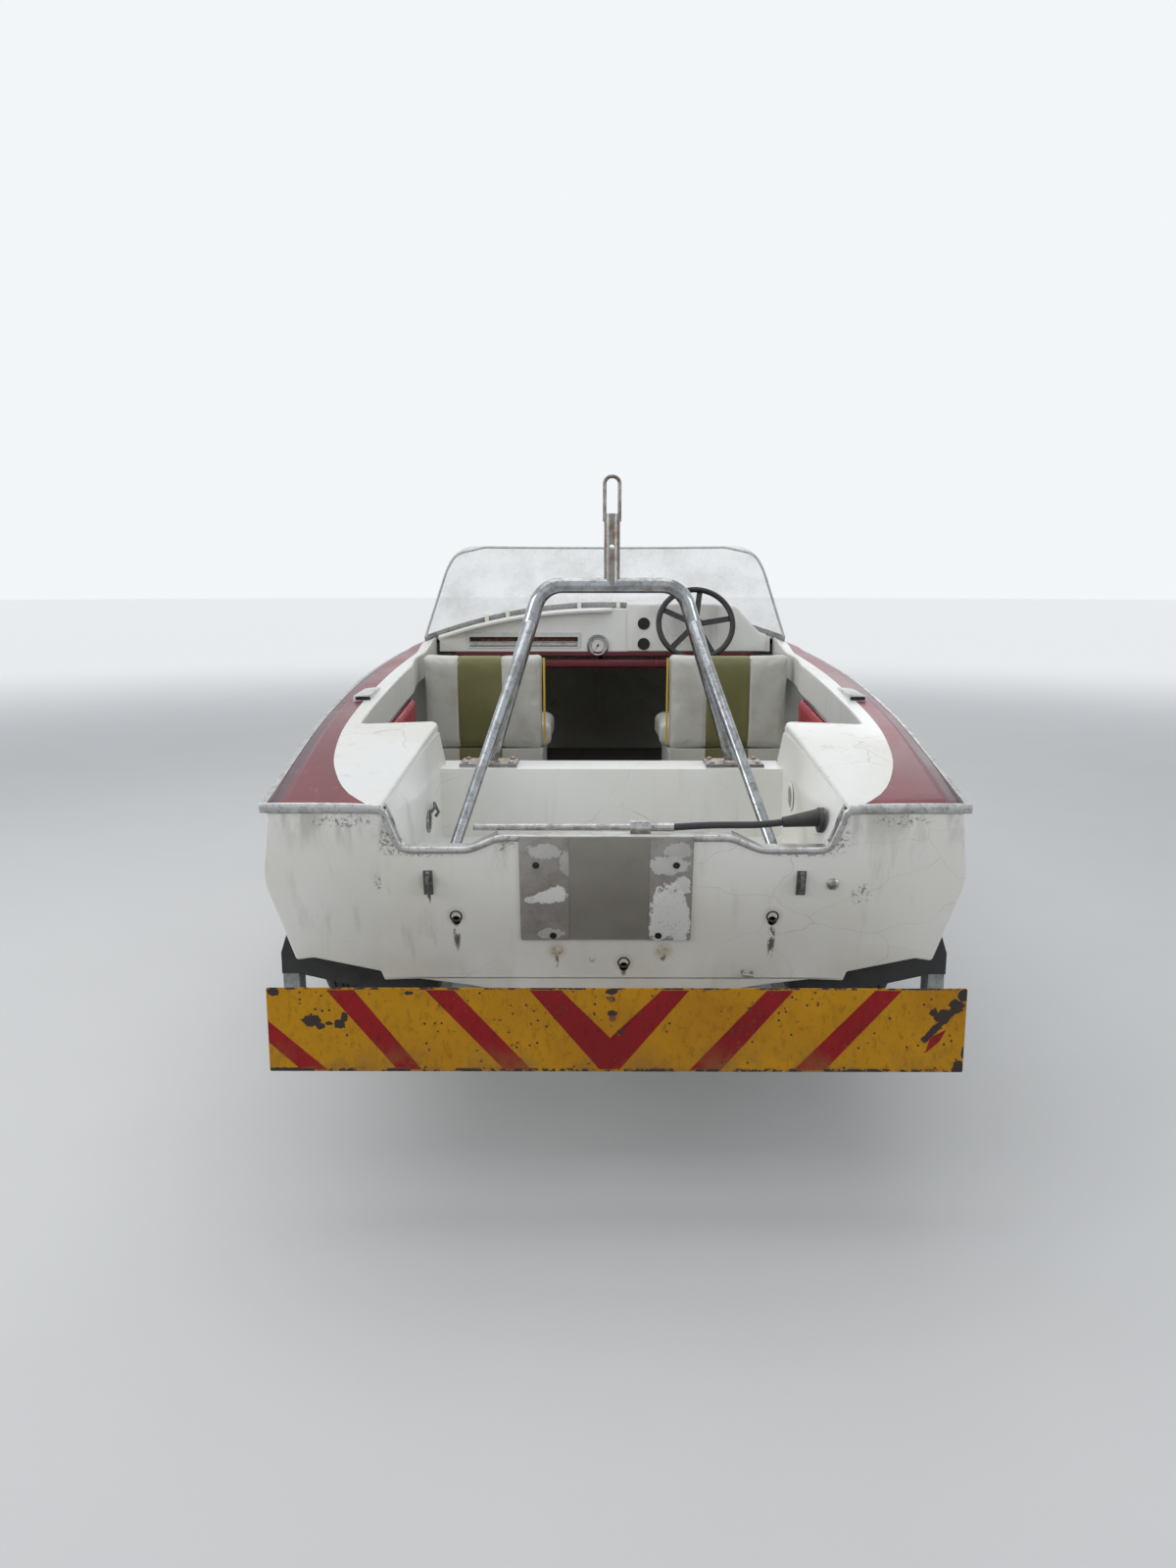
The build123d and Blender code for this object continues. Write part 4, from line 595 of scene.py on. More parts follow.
def spun(name, origin, along, profile, materials, turns=32, **rest):
    """A profile of (radius, distance along) turned about an axis."""
    along, side, up = square_to(along)
    origin = Vector(origin)
    rows = []
    for radius, run in profile:
        radius = max(radius, 1e-5)
        rows.append([origin + along * run + (side * math.cos(a) + up * math.sin(a)) * radius
                     for a in round_turn(turns)])
    return grid(name, rows, materials, closed=True, **rest)


def studs(places, along, profile, materials, turns, **rest):
    """The same turned form at several places."""
    return [spun("stud", at, along, profile, materials, turns, **rest) for at in places]


def tube(name, points, radius, materials, turns=20, **rest):
    """A round bar along points, its section carried square to the line."""
    line = [Vector(p) for p in points]
    rows = []
    side = None
    for i, at in enumerate(line):
        before, after = line[max(i - 1, 0)], line[min(i + 1, len(line) - 1)]
        along = (after - before).normalized()
        if side is None:
            _, side, _ = square_to(along)
        side = (side - along * side.dot(along)).normalized()
        up = along.cross(side)
        r = radius[i] if isinstance(radius, (list, tuple)) else radius
        rows.append([at + (side * math.cos(a) + up * math.sin(a)) * r for a in round_turn(turns)])
    points = [p for row in rows for p in row]
    faces = grid_faces(len(rows), turns, True) + end_faces(turns, len(points))
    return mesh(name, points, faces, materials, **rest)


def joined(name, parts):
    """Several pieces on one body as one piece."""
    bpy.ops.object.select_all(action="DESELECT")
    for part in parts:
        part.select_set(True)
    bpy.context.view_layer.objects.active = parts[0]
    bpy.ops.object.join()
    parts[0].name = name
    parts[0].data.name = name
    return parts[0]


def dress(node, material):
    """Gives a carried-over node its material."""
    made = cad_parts[node]
    made.data.materials.clear()
    made.data.materials.append(material)


# Hull, in metres: distance forward, then the keel's height, the share of the strakes' lift, and the
# half-breadth and height of chine, knuckle and sheer
STATIONS = (
    (0.00, 0.455, 1.0, 0.766, 0.592, 0.825, 0.805, 0.797, 0.975),
    (0.80, 0.455, 1.0, 0.785, 0.600, 0.845, 0.830, 0.832, 1.086),
    (1.60, 0.455, 1.0, 0.790, 0.615, 0.862, 0.862, 0.860, 1.142),
    (2.40, 0.458, 1.0, 0.775, 0.645, 0.868, 0.900, 0.873, 1.166),
    (3.00, 0.470, 1.0, 0.725, 0.690, 0.845, 0.935, 0.864, 1.178),
    (3.50, 0.500, 0.9, 0.632, 0.745, 0.768, 0.975, 0.800, 1.188),
    (3.95, 0.556, 0.7, 0.485, 0.810, 0.618, 1.015, 0.672, 1.197),
    (4.30, 0.645, 0.5, 0.318, 0.875, 0.432, 1.050, 0.500, 1.205),
    (4.55, 0.770, 0.3, 0.165, 0.945, 0.245, 1.090, 0.300, 1.211),
    (4.70, 0.950, 0.2, 0.034, 1.030, 0.052, 1.130, 0.070, 1.215),
)
STRAKES = ((0.47, 0.006), (0.62, 0.001), (0.726, -0.017), (0.736, 0.006), (0.945, 0.014), (1.0, 0.0))
SOFT = (0.004, 0.004, 0.004, 0.003, 0.006, 0.008, 0.030)
KNOTS = [row[0] for row in STATIONS]
LINES = [smooth_curve(KNOTS, [row[i] for row in STATIONS]) for i in range(1, 9)]
BOW = 4.70
NOSE = 0.03
PANEL = 0.046 / math.cos(TILT)
SHEER_X, SHEER_Z = LINES[6], LINES[7]


def half_section(d):
    """Starboard outline of the hull from keel to sheer, its corners softened."""
    keel, factor, chine_x, chine_z, knuckle_x, knuckle_z, sheer_x, sheer_z = (line(d) for line in LINES)
    points = [(0, keel)]
    points += [(s * chine_x, keel + (chine_z - keel) * s + lift * factor) for s, lift in STRAKES]
    points += [(knuckle_x, knuckle_z), (sheer_x, sheer_z)]
    return soften(points, SOFT)


def raked_section(inward):
    """Starboard outline where the hull meets a plane parallel to the transom."""
    line = []
    for k, point in enumerate(half_section(0.05)):
        x, z = half_section(transom_fwd(point[1]) + inward)[k]
        line.append((x, place(transom_fwd(z) + inward), z))
    return line


def mirrored(half):
    """Port to starboard line from its starboard half that starts on the centreline."""
    return [(-x, y, z) for x, y, z in reversed(half[1:])] + list(half)


def inset(outline, amount):
    """Closed outline moved inward by the same amount all round."""
    points = [np.array(p, float) for p in outline]
    area = sum(a[0] * b[1] - b[0] * a[1] for a, b in zip(points, points[1:] + points[:1]))
    turn = 1 if area > 0 else -1
    moved = []
    for before, at, after in zip(points[-1:] + points[:-1], points, points[1:] + points[:1]):
        a, b = at - before, after - at
        a, b = a / np.linalg.norm(a), b / np.linalg.norm(b)
        na, nb = np.array((-a[1], a[0])) * turn, np.array((-b[1], b[0])) * turn
        middle = na + nb
        middle /= max(np.linalg.norm(middle), 1e-6)
        moved.append(at + middle * amount / max(middle.dot(na), 0.5))
    return moved


def raked_plate(name, outline, back, front, materials, round_by=0.003, steps=4, **rest):
    """A plate lying along the transom, its outer rim rounded; depths are forward of the face."""
    rings = [(outline, back)]
    for k in range(steps + 1):
        angle = math.pi / 2 * k / steps
        ring = inset(outline, round_by * (1 - math.cos(angle)))
        rings.append((ring, front + round_by * (1 - math.sin(angle))))
    count = len(outline)
    points = [(x, place(transom_fwd(z) + depth), z) for ring, depth in rings for x, z in ring]
    faces = grid_faces(len(rings), count, True) + end_faces(count, len(points))
    return mesh(name, points, faces, materials, **rest)


def cut(made, cutters):
    """Takes other closed pieces away from a piece."""
    for cutter in cutters:
        add_tool(made, "BOOLEAN", operation="DIFFERENCE", solver="EXACT", object=cutter)
        apply(made)
    for cutter in cutters:
        bpy.data.objects.remove(cutter)
    clean(made)


def hull_skin():
    """Bottom and sides from the transom to the stem."""
    rows = [mirrored(raked_section(PANEL))]
    for d in (*np.linspace(0.24, 3.0, 34), *np.linspace(3.07, BOW, 26)):
        rows.append(mirrored([(x, place(d), z) for x, z in half_section(d)]))
    for turn in (math.radians(angle) for angle in (15, 30, 45, 60, 72, 83, 89)):
        row = [(x * math.cos(turn), place(BOW + NOSE * math.sin(turn)), z) for x, z in half_section(BOW)]
        rows.append(mirrored(row))
    skin = grid("hull_skin", rows, WHITE, sharp=24, replaces=["hull"])
    thicken(skin, 0.010, sharp=24)


DRAINS = ((-0.376, 0.712), (0.376, 0.712), (0.024, 0.588))
DRAIN_RADIUS = 0.011


def transom_face():
    """Transom with its notch, the motor pad's raised edge and the drains' holes."""
    half = [(x, z) for x, _, z in raked_section(0)]
    top = [(0.530, 0.975), (0.530, 0.963), (0.498, 0.885), (0.340, 0.885), (0.270, 0.917)]
    top = soften(top, (0.004, 0.020, 0.012, 0.010))
    right = half[1:] + [tuple(p) for p in top]
    outline = [half[0]] + right + [(-x, z) for x, z in reversed(right)]
    panel = raked_plate("transom_panel", outline, PANEL, 0, [STERN], 0.006, replaces=["hull"])
    bore = [(0, 0), (DRAIN_RADIUS, 0), (DRAIN_RADIUS, 0.15), (0, 0.15)]
    cut(panel, [spun("hole", (x, place(transom_fwd(z) - 0.05), z), (0, 1, -RAKE), bore, BLACK)
                for x, z in DRAINS])


# Decks, with u measured inboard of the sheer
FLANGE = 0.028
STEP = 0.009
CROWN = smooth_curve((0, 0.05, 0.58, 0.8, 2.45), (0.013, 0.019, 0.038, 0.037, 0.036))
SLOPE = smooth_curve((0, 0.58, 0.8, 1.6, 2.45), (-0.03, 0.0286, 0.09, 0.11, 0.07))
WELL_TOP_X = smooth_curve((0, 0.58), (0.540, 0.482))
COAMING_X = smooth_curve((0.58, 0.8, 1.6, 2.0, 2.4, 2.45), (0.700, 0.702, 0.714, 0.750, 0.738, 0.735))
COLOUR_X = smooth_curve(
    (0, 0.05, 0.1, 0.2, 0.3, 0.4, 0.55, 0.8, 1.2, 1.7, 2.45),
    (0.545, 0.60, 0.638, 0.680, 0.708, 0.723, 0.737, 0.746, 0.757, 0.768, 0.790),
)
LIP = smooth_curve((0, 0.58, 0.62, 2.0, 2.4, 2.45), (0.012, 0.030, 0.105, 0.105, 0.080, 0.070))
FORE_CROWN = smooth_curve(
    (2.45, 3.0, 3.5, 3.95, 4.3, 4.55, 4.70), (1.365, 1.362, 1.350, 1.325, 1.295, 1.263, 1.240),
)
SCREEN = 2.45


def ease(value):
    """Smooth step of a value between 0 and 1."""
    value = min(max(value, 0), 1)
    return value * value * (3 - 2 * value)


def fore_z(x, d):
    """Height of the crowned foredeck."""
    half, edge = SHEER_X(d), SHEER_Z(d) + 0.022
    sag = FORE_CROWN(d) - edge
    radius = (half * half + sag * sag) / (2 * sag)
    z = FORE_CROWN(d) - radius + math.sqrt(max(radius * radius - x * x, 0))
    return z + 0.009 * ease((half - abs(x) - FLANGE) / STEP) * min(1, half / 0.3)


def deck_z(x, d):
    """Height of the side deck, rising to the foredeck at the windscreen."""
    u = SHEER_X(d) - x
    crown = CROWN(d)
    edge = min(0.022, crown * 0.7)
    z = SHEER_Z(d) + edge + (crown - edge) * ease((u - FLANGE) / STEP) + SLOPE(d) * max(u - 0.055, 0)
    lift = ease((d - 2.15) / (SCREEN - 2.15))
    return z + (fore_z(x, max(d, SCREEN)) - z) * lift if lift else z


def band_row(d):
    """Starboard flange and coloured band of the deck at a distance: x and z, outside first."""
    sheer = SHEER_X(d)
    scale = min(1, sheer / 0.2)
    boundary = COLOUR_X(d) if d < SCREEN else sheer - 0.085 * min(1, sheer / 0.25)
    boundary = min(boundary, sheer - 0.05 * scale)
    xs = [sheer - u * scale for u in (0.0, 0.002, 0.008, 0.020, FLANGE, 0.0295, 0.032, 0.0345, 0.037, 0.043)]
    xs += [xs[-1] + (boundary - xs[-1]) * t for t in (0.25, 0.5, 0.75, 1.0)]
    level = deck_z if d < SCREEN else fore_z
    row = [(sheer, SHEER_Z(d)), (sheer, level(sheer, d) - 0.003)]
    row += [(x, level(x, d)) for x in xs[1:]]
    return row


BAND_SLOTS = [0] * 5 + [1] * 9
FIRST_STEPS = [0.003, 0.010, 0.020, 0.034, 0.05]


def roll(d):
    """Drop of the deck's last edge above the transom."""
    return 0.007 * (1 - math.sin(math.pi / 2 * min(1, d / 0.035)))


def side_band(side, name):
    """Flange and coloured band of a side deck."""
    rows = []
    for d in FIRST_STEPS + list(np.linspace(0.08, 0.56, 13)) + list(np.linspace(0.6, SCREEN, 38)):
        rows.append([(side * x, place(d), z - (roll(d) if i > 1 else 0))
                     for i, (x, z) in enumerate(band_row(d))])
    band = grid(f"deck_band_{name}", rows, [PURPLE, RED], slots=BAND_SLOTS, sharp=50,
                replaces=[f"side_deck_{name}"])
    thicken(band, 0.005, sharp=50)


def coaming_path():
    """Inner edge of the deck with the matching distance of its outer edge: x, d, outer d."""
    line = [(WELL_TOP_X(d), d, 0.003 + (d - 0.003) * 0.5 / 0.57)
            for d in FIRST_STEPS + list(np.linspace(0.09, 0.570, 11))]
    ahead, bend = 0.602, 0.022
    start, end = WELL_TOP_X(0.58), COAMING_X(0.62)
    angles = [(k, math.pi / 2 * k / 6) for k in range(1, 7)]
    arc = [(k, bend * math.sin(angle), bend * math.cos(angle)) for k, angle in angles]
    line += [(start + bend - b, ahead - bend + a, 0.505 + 0.008 * k) for k, a, b in arc]
    line += [(start + bend + (end - start - 2 * bend) * k / 4, ahead, 0.553 + 0.008 * k) for k in range(1, 5)]
    line += [(end - bend + a, ahead + bend - b, 0.585 + 0.0065 * k) for k, a, b in arc]
    line += [(COAMING_X(d), d, d) for d in np.linspace(0.66, SCREEN, 36)]
    return line


def white_deck(side, name):
    """White part of the side deck, rounded over into its lip at the well and the cockpit."""
    path = coaming_path()
    rows = []
    for i, (x, d, outer_d) in enumerate(path):
        before, after = path[max(i - 1, 0)], path[min(i + 1, len(path) - 1)]
        run = np.array((after[0] - before[0], after[1] - before[1]))
        run /= np.linalg.norm(run)
        inward = np.array((-run[1], run[0]))
        outer_x = band_row(outer_d)[-1][0]
        radius = min(0.008, LIP(min(d, SCREEN)) * 0.45)
        row = []
        for t in (0, 0.12, 0.3, 0.5, 0.7, 0.85, 0.95):
            px = outer_x + (x - inward[0] * radius - outer_x) * t
            pd = outer_d + (d - inward[1] * radius - outer_d) * t
            row.append((px, pd, deck_z(px, pd) - roll(pd)))
        edge_z = deck_z(x, d) - roll(d)
        for k in range(5):
            a = math.pi / 2 * k / 4
            out = radius * (math.sin(a) - 1)
            row.append((x + inward[0] * out, d + inward[1] * out, edge_z - radius * (1 - math.cos(a))))
        depth = LIP(min(d, SCREEN)) if i else 0.012
        low = edge_z - depth
        row += [(x, d, low), (x - inward[0] * 0.006, d - inward[1] * 0.006, low - 0.001)]
        rows.append([(side * px, place(pd), pz) for px, pd, pz in row])
    deck = grid(f"white_deck_{name}", rows, WHITE, sharp=50, replaces=[f"side_deck_{name}"])
    thicken(deck, 0.004, sharp=50)


def fore_deck():
    """Foredeck with its band, turned round the bow at its end."""
    rows = []
    distances = [(d, 0) for d in (*np.linspace(SCREEN, 4.3, 30), *np.linspace(4.34, BOW, 10))]
    distances += [(BOW, math.radians(a)) for a in (15, 30, 45, 60, 75, 88)]
    for d, turn in distances:
        half = band_row(max(d, SCREEN + 1e-6))
        inner = half[-1][0]
        half += [(inner * t, fore_z(inner * t, d)) for t in (0.85, 0.7, 0.55, 0.4, 0.25, 0.1)]
        y = place(d + NOSE * math.sin(turn))
        half = [(x * math.cos(turn), y, z) for x, z in half]
        rows.append(half + [(-x, y, z) for x, y, z in reversed(half)])
    marks = BAND_SLOTS + [2] * 13 + BAND_SLOTS[::-1]
    deck = grid("foredeck_skin", rows, [PURPLE, RED, WHITE], slots=marks, sharp=50, replaces=["foredeck"])
    thicken(deck, 0.006, sharp=50)


def sheer_line():
    """Sheer from the transom round the bow: x, y, z and the outward direction."""
    half = [(SHEER_X(d), d, SHEER_Z(d)) for d in (*np.linspace(0.004, 3.0, 44), *np.linspace(3.06, BOW, 28))]
    for angle in range(10, 91, 10):
        a = math.radians(angle)
        half.append((SHEER_X(BOW) * math.cos(a), BOW + NOSE * math.sin(a), SHEER_Z(BOW)))
    line = half + [(-x, d, z) for x, d, z in reversed(half[:-1])]
    made = []
    for i, (x, d, z) in enumerate(line):
        a, b = line[max(i - 1, 0)], line[min(i + 1, len(line) - 1)]
        run = Vector((b[0] - a[0], b[1] - a[1]))
        run.normalize()
        made.append((x, place(d), z, run.y, -run.x))
    return made


def rub_rail():
    """Rounded rail along the sheer and round the bow."""
    section = ((0.0, 0.0), (0.009, 0.0003), (0.015, 0.003), (0.0178, 0.0075), (0.018, 0.011),
               (0.0178, 0.0145), (0.015, 0.019), (0.009, 0.0217), (0.0, 0.022), (-0.004, 0.011))
    rows = []
    for x, y, z, nx, ny in sheer_line():
        rows.append([(x + nx * out, y + ny * out, z + up) for out, up in section])
    points = [p for row in rows for p in row]
    count = len(section)
    faces = grid_faces(len(rows), count, True) + end_faces(count, len(points))
    rails = [f"rub_rail_{name}" for name, _ in SIDES]
    mesh("rub_rail_skin", points, faces, ALUMINIUM, replaces=rails, sharp=50)


def flatten(made, inward, share):
    """Presses a bar on the transom to a share of its depth about a plane inside the face."""
    for vertex in made.data.vertices:
        middle = place(transom_fwd(vertex.co.z) + inward)
        vertex.co.y = middle + (vertex.co.y - middle) * share


def stern_trim():
    """Rounded bars along the transom's top, each with a strip down the notch to the motor plate."""
    for name, side in SIDES:
        bar = [(0.812, 0.986), (0.70, 0.9865), (0.60, 0.9855), (0.540, 0.983), (0.528, 0.972), (0.523, 0.955)]
        line = [(side * x, place(transom_fwd(z) - 0.001), z) for x, z in bar]
        sizes = [0.0125, 0.0125, 0.0125, 0.0115, 0.009, 0.006]
        flatten(tube(f"stern_bar_{name}", line, sizes, ALUMINIUM, turns=16), -0.001, 0.55)
        edge = 0.224 if side < 0 else 0.184
        strip = [(0.525, 0.960), (0.499, 0.886), (0.340, 0.886), (0.270, 0.9165), (edge, 0.9165)]
        strip = soften(strip, (0.024, 0.016, 0.016), 5)
        line = [(side * x, place(transom_fwd(z) + 0.0005), z - 0.0045) for x, z in strip]
        flatten(tube(f"notch_strip_{name}", line, 0.0085, ALUMINIUM, turns=14), 0.0005, 0.6)


WELL_LONG = 0.58
WELL_SKIN = 0.006
WELL_FLOOR = 0.800


def well_half(d):
    """Half-breadth of the splash well at its floor."""
    return 0.500 - 0.034 * min(d / WELL_LONG, 1)


def well_row(d):
    """Splash well across from the centreline to starboard: x and z."""
    top_z = deck_z(WELL_TOP_X(d), d) - roll(d) - LIP(min(d, WELL_LONG)) + 0.004
    half = well_half(d)
    crease = 0.955 + 0.037 * min(d / WELL_LONG, 1)
    flare = 0.0275 * (1 - ease((d - PANEL) / 0.17))
    line = [(0, WELL_FLOOR), (half, WELL_FLOOR), (half, 0.882), (half + flare, crease),
            (WELL_TOP_X(d) + 0.0015, top_z)]
    return soften(line, (0.022, 0.02, 0.007), 5)


def well_skin():
    """Floor and sides of the splash well, its aft end on the transom's slope."""
    rows = []
    for d in [0.0, 0.060, 0.075, 0.095] + list(np.linspace(0.12, 0.582, 12)):
        row = []
        for x, z in well_row(d if d else PANEL):
            y = place(d) if d else place(transom_fwd(z) + PANEL - 0.001)
            row.append((x, y, z))
        rows.append(mirrored(row))
    well = grid("splash_well_skin", rows, WHITE, sharp=50, replaces=["splash_well"])
    thicken(well, WELL_SKIN, offset=1, sharp=50)


LEDGE_Z = 0.9927


def ledge():
    """Moulded ledge across the well that carries the arch, and the wall below it."""
    rows = []
    for x in np.linspace(-0.468, 0.468, 25):
        rows.append([(x, place(d), z) for d, z in soften(
            [(0.494, 0.802), (0.4994, LEDGE_Z), (0.652, LEDGE_Z), (0.652, LEDGE_Z - 0.030)],
            (0.010, 0.008), 5)])
    thicken(grid("bulkhead_ledge", rows, WHITE, sharp=50), 0.0004, sharp=50)


def build_hull():
    """Hull, decks and everything moulded or trimmed on them."""
    hull_skin()
    transom_face()
    for name, side in SIDES:
        side_band(side, name)
        white_deck(side, name)
    fore_deck()
    rub_rail()
    stern_trim()
    well_skin()
    ledge()


# Steering cable on the motor pad, its points as in the CAD route
CABLE = ((0.400, 0.100, 0.932), (0.350, 0.097, 0.926), (0.285, 0.082, 0.929), (0.210, 0.062, 0.933),
         (0.138, 0.048, 0.9313))
CABLE_SIZE = 0.017


def steering_cable():
    """Cord of the helm's cable, from the well's side to the ram."""
    data = bpy.data.curves.new("steering_cable_jacket", "CURVE")
    data.dimensions = "3D"
    spline = data.splines.new("NURBS")
    spline.points.add(len(CABLE) - 1)
    for point, (x, d, z) in zip(spline.points, CABLE):
        point.co = (x, place(d), z, 1)
    spline.order_u = 3
    spline.use_endpoint_u = True
    spline.resolution_u = 24
    data.bevel_depth = CABLE_SIZE / 2
    data.bevel_resolution = 6
    data.use_fill_caps = True
    data.materials.append(HOSE)
    jacket = bpy.data.objects.new("steering_cable_jacket", data)
    bpy.context.collection.objects.link(jacket)
    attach(jacket, HULL)
    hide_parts("steering_cable")
    x, d, z = CABLE[0]


# Soft goods
PRESSURE, STIFFNESS, SWELL_CAP = 3.0, 12, 0.007
SETTLE_STEPS = 20
PINCH = 0.006
SEAM_REACH, SEAM_DEPTH, SEAM_NOTCH = 0.014, 0.0045, 0.003


def settle(made, voxel):
    """Swells a closed piece like a stuffed pad, no point moving farther than the cap."""
    add_tool(made, "REMESH", mode="VOXEL", voxel_size=voxel)
    apply(made)
    rest = [v.co.copy() for v in made.data.vertices]
    cloth = made.modifiers.new("cloth", "CLOTH")
    cloth.settings.use_pressure = True
    cloth.settings.uniform_pressure_force = PRESSURE
    cloth.settings.effector_weights.gravity = 0
    cloth.settings.tension_stiffness = STIFFNESS
    cloth.settings.compression_stiffness = STIFFNESS
    scene = bpy.context.scene
    for step in range(1, SETTLE_STEPS + 1):
        scene.frame_set(step)
    apply(made)
    scene.frame_set(1)
    for vertex, start in zip(made.data.vertices, rest):
        move = vertex.co - start
        if move.length > SWELL_CAP:
            vertex.co = start + move * (SWELL_CAP / move.length)


def pad(name, size, warp, materials, node, channels, crown, soft, stripe=None, voxel=0.008):
    """A stuffed pad of a width, thickness and height, its middle crowned and its sides pulled in."""
    wide, thick, tall = size
    high = [length / 2 - 0.004 for length in size]
    made = block(name, [-length for length in high], high, materials, soft, 4)
    settle(made, voxel)
    add_tool(made, "SUBSURF", levels=1)
    apply(made)
    for vertex in made.data.vertices:
        u, v, w = vertex.co.x / (wide / 2), vertex.co.y / (thick / 2), vertex.co.z / (tall / 2)
        swell = max(0, 1 - u * u) * max(0, 1 - w * w)
        vertex.co.y += math.copysign(crown * swell, v) * min(1, abs(v) * 1.6)
        pinch = PINCH * (1 - abs(v)) ** 0.5 if abs(v) < 1 else 0
        vertex.co.x -= math.copysign(pinch * abs(u) ** 6 * (1 - w * w), u)
        vertex.co.z -= math.copysign(pinch * abs(w) ** 6 * (1 - u * u), w)
        for seam in channels:
            near = 1 - abs(vertex.co.x - seam) / SEAM_REACH
            if near > 0:
                vertex.co.y -= math.copysign(SEAM_DEPTH * near ** 2, v) * min(1, abs(v) * 2)
                vertex.co.z -= math.copysign(SEAM_NOTCH * near ** 2, w) if abs(w) > 0.9 else 0
    if stripe:
        for face in made.data.polygons:
            face.material_index = 1 if stripe[0] < face.center.x < stripe[1] else 0
    for vertex in made.data.vertices:
        vertex.co = Vector(warp(vertex.co.x, vertex.co.y, vertex.co.z))
    for face in made.data.polygons:
        face.use_smooth = True
    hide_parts(node)
    return made


SEAT_MIDDLE = 0.488
SEAT_WIDE = 0.490
BACK_LOW, BACK_TOP = 0.818, 1.213
CUSHION_AT, CUSHION_Z = 2.263, 0.872
SKIRT = 1.9495  # fore face of the skirts, just aft of the seat boxes
SKIRT_LOW, SKIRT_TOP = 0.690, 0.832
STRIPES = {"port": (-0.098, 0.074), "starboard": (-0.089, 0.083)}


def seats():
    """Backs with their piping, seams and skirts, and the cushions."""
    for name, side in SIDES:
        middle = side * SEAT_MIDDLE
        mid_z, tall = (BACK_LOW + BACK_TOP) / 2, BACK_TOP - BACK_LOW

        def back_place(x, y, z):
            lean = -0.006 - 0.030 * (z / tall + 0.5) ** 1.3
            narrow = 1 - 0.10 * (z / tall + 0.5)
            return middle + x, place(2.004 + lean + 0.018 + y * narrow), mid_z + z

        stripe = STRIPES[name]
        pad(f"seat_back_pad_{name}", (SEAT_WIDE, 0.096, tall), back_place, [CREAM_VINYL, OLIVE_VINYL],
            f"seat_back_{name}", channels=stripe, stripe=stripe, crown=0.005, soft=0.020)
        inner = -side * (SEAT_WIDE / 2 - 0.002)
        piping = [back_place(inner, -0.036, z) for z in np.linspace(-tall / 2 + 0.03, tall / 2 - 0.02, 16)]
        tube(f"seat_piping_{name}", piping, 0.0042, YELLOW, turns=8)
        heights = np.linspace(-tall / 2 + 0.02, tall / 2 - 0.02, 12)
        joined(f"seat_seams_{name}", [
            tube("seam", [back_place(seam, face * 0.0475, z) for z in heights], 0.0014, CREAM_VINYL, turns=6)
            for seam in stripe for face in (-1, 1)])
        ends = (-SEAT_WIDE / 2 + 0.014, *stripe, SEAT_WIDE / 2 - 0.014)
        looks = (CREAM_VINYL, OLIVE_VINYL, CREAM_VINYL)
        joined(f"seat_skirt_{name}", [
            prism("skirt", box_outline(middle + low, SKIRT_LOW, middle + high, SKIRT_TOP),
                  place(SKIRT - 0.0045), place(SKIRT), "y", look, 0.0015)
            for low, high, look in zip(ends, ends[1:], looks)])

        def cushion_place(x, y, z):
            return middle + x - side * 0.015, place(CUSHION_AT + z), CUSHION_Z + y

        pad(f"seat_cushion_pad_{name}", (0.522, 0.104, 0.392), cushion_place, [CREAM_VINYL, OLIVE_VINYL],
            f"seat_cushion_{name}", channels=stripe, stripe=stripe, crown=0.005, soft=0.028)


ROLL_AT, ROLL_DROP = 1.2, 0.1425


def side_pads():
    """Red rolls under the coamings."""
    for name, side in SIDES:
        def pad_place(x, y, z):
            d = ROLL_AT + x
            return side * (COAMING_X(d) + 0.0005 + y), place(d), SHEER_Z(d) - ROLL_DROP + z

        made = pad(f"side_roll_{name}", (0.794, 0.026, 0.158), pad_place, [RED_VINYL], f"side_pad_{name}",
                   channels=(-0.2, 0.0, 0.2), crown=0.003, voxel=0.006, soft=0.009)
        made["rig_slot"] = "red_vinyl"


VALANCE_AT, VALANCE_Z = 2.432, 1.137


def valance_pad():
    """Padded roll under the dashboard and the lip above it, their red vinyl darkened as painted shade."""
    def valance_place(x, y, z):
        return x, place(VALANCE_AT + y), VALANCE_Z + z

    pad("valance_pad", (1.306, 0.024, 0.066), valance_place, [SHADED_VINYL], "valance",
        channels=(-0.44, -0.22, 0.0, 0.22, 0.44), crown=0.003, voxel=0.006, soft=0.009)
    block("valance_lip", (-0.652, place(2.4215), 1.170), (0.652, place(2.4305), 1.1885), SHADED_VINYL, 0.003,
          replaces=["valance"])


# Dashboard
DASH = 2.430
GAUGE = (-0.030, 1.215)
SMALL_GAUGES = ((0.170, 1.310), (0.170, 1.222))


def facing_aft(name, x, z, profile, materials, turns=40, **rest):
    """A turned form on the dashboard; the profile is radius and distance aft."""
    return spun(name, (x, place(DASH), z), (0, -1, 0), profile, materials, turns, **rest)


def dial_mark(name, degrees, corners, out):
    """A thin black mark on the dial; corners are distance from the middle and across."""
    (x, z), turn = GAUGE, math.radians(degrees)
    a, b = math.cos(turn), math.sin(turn)
    outline = [(x + a * r - b * h, z + b * r + a * h) for r, h in corners]
    return prism(name, outline, place(DASH - out - 0.0008), place(DASH - out), "y", BLACK)


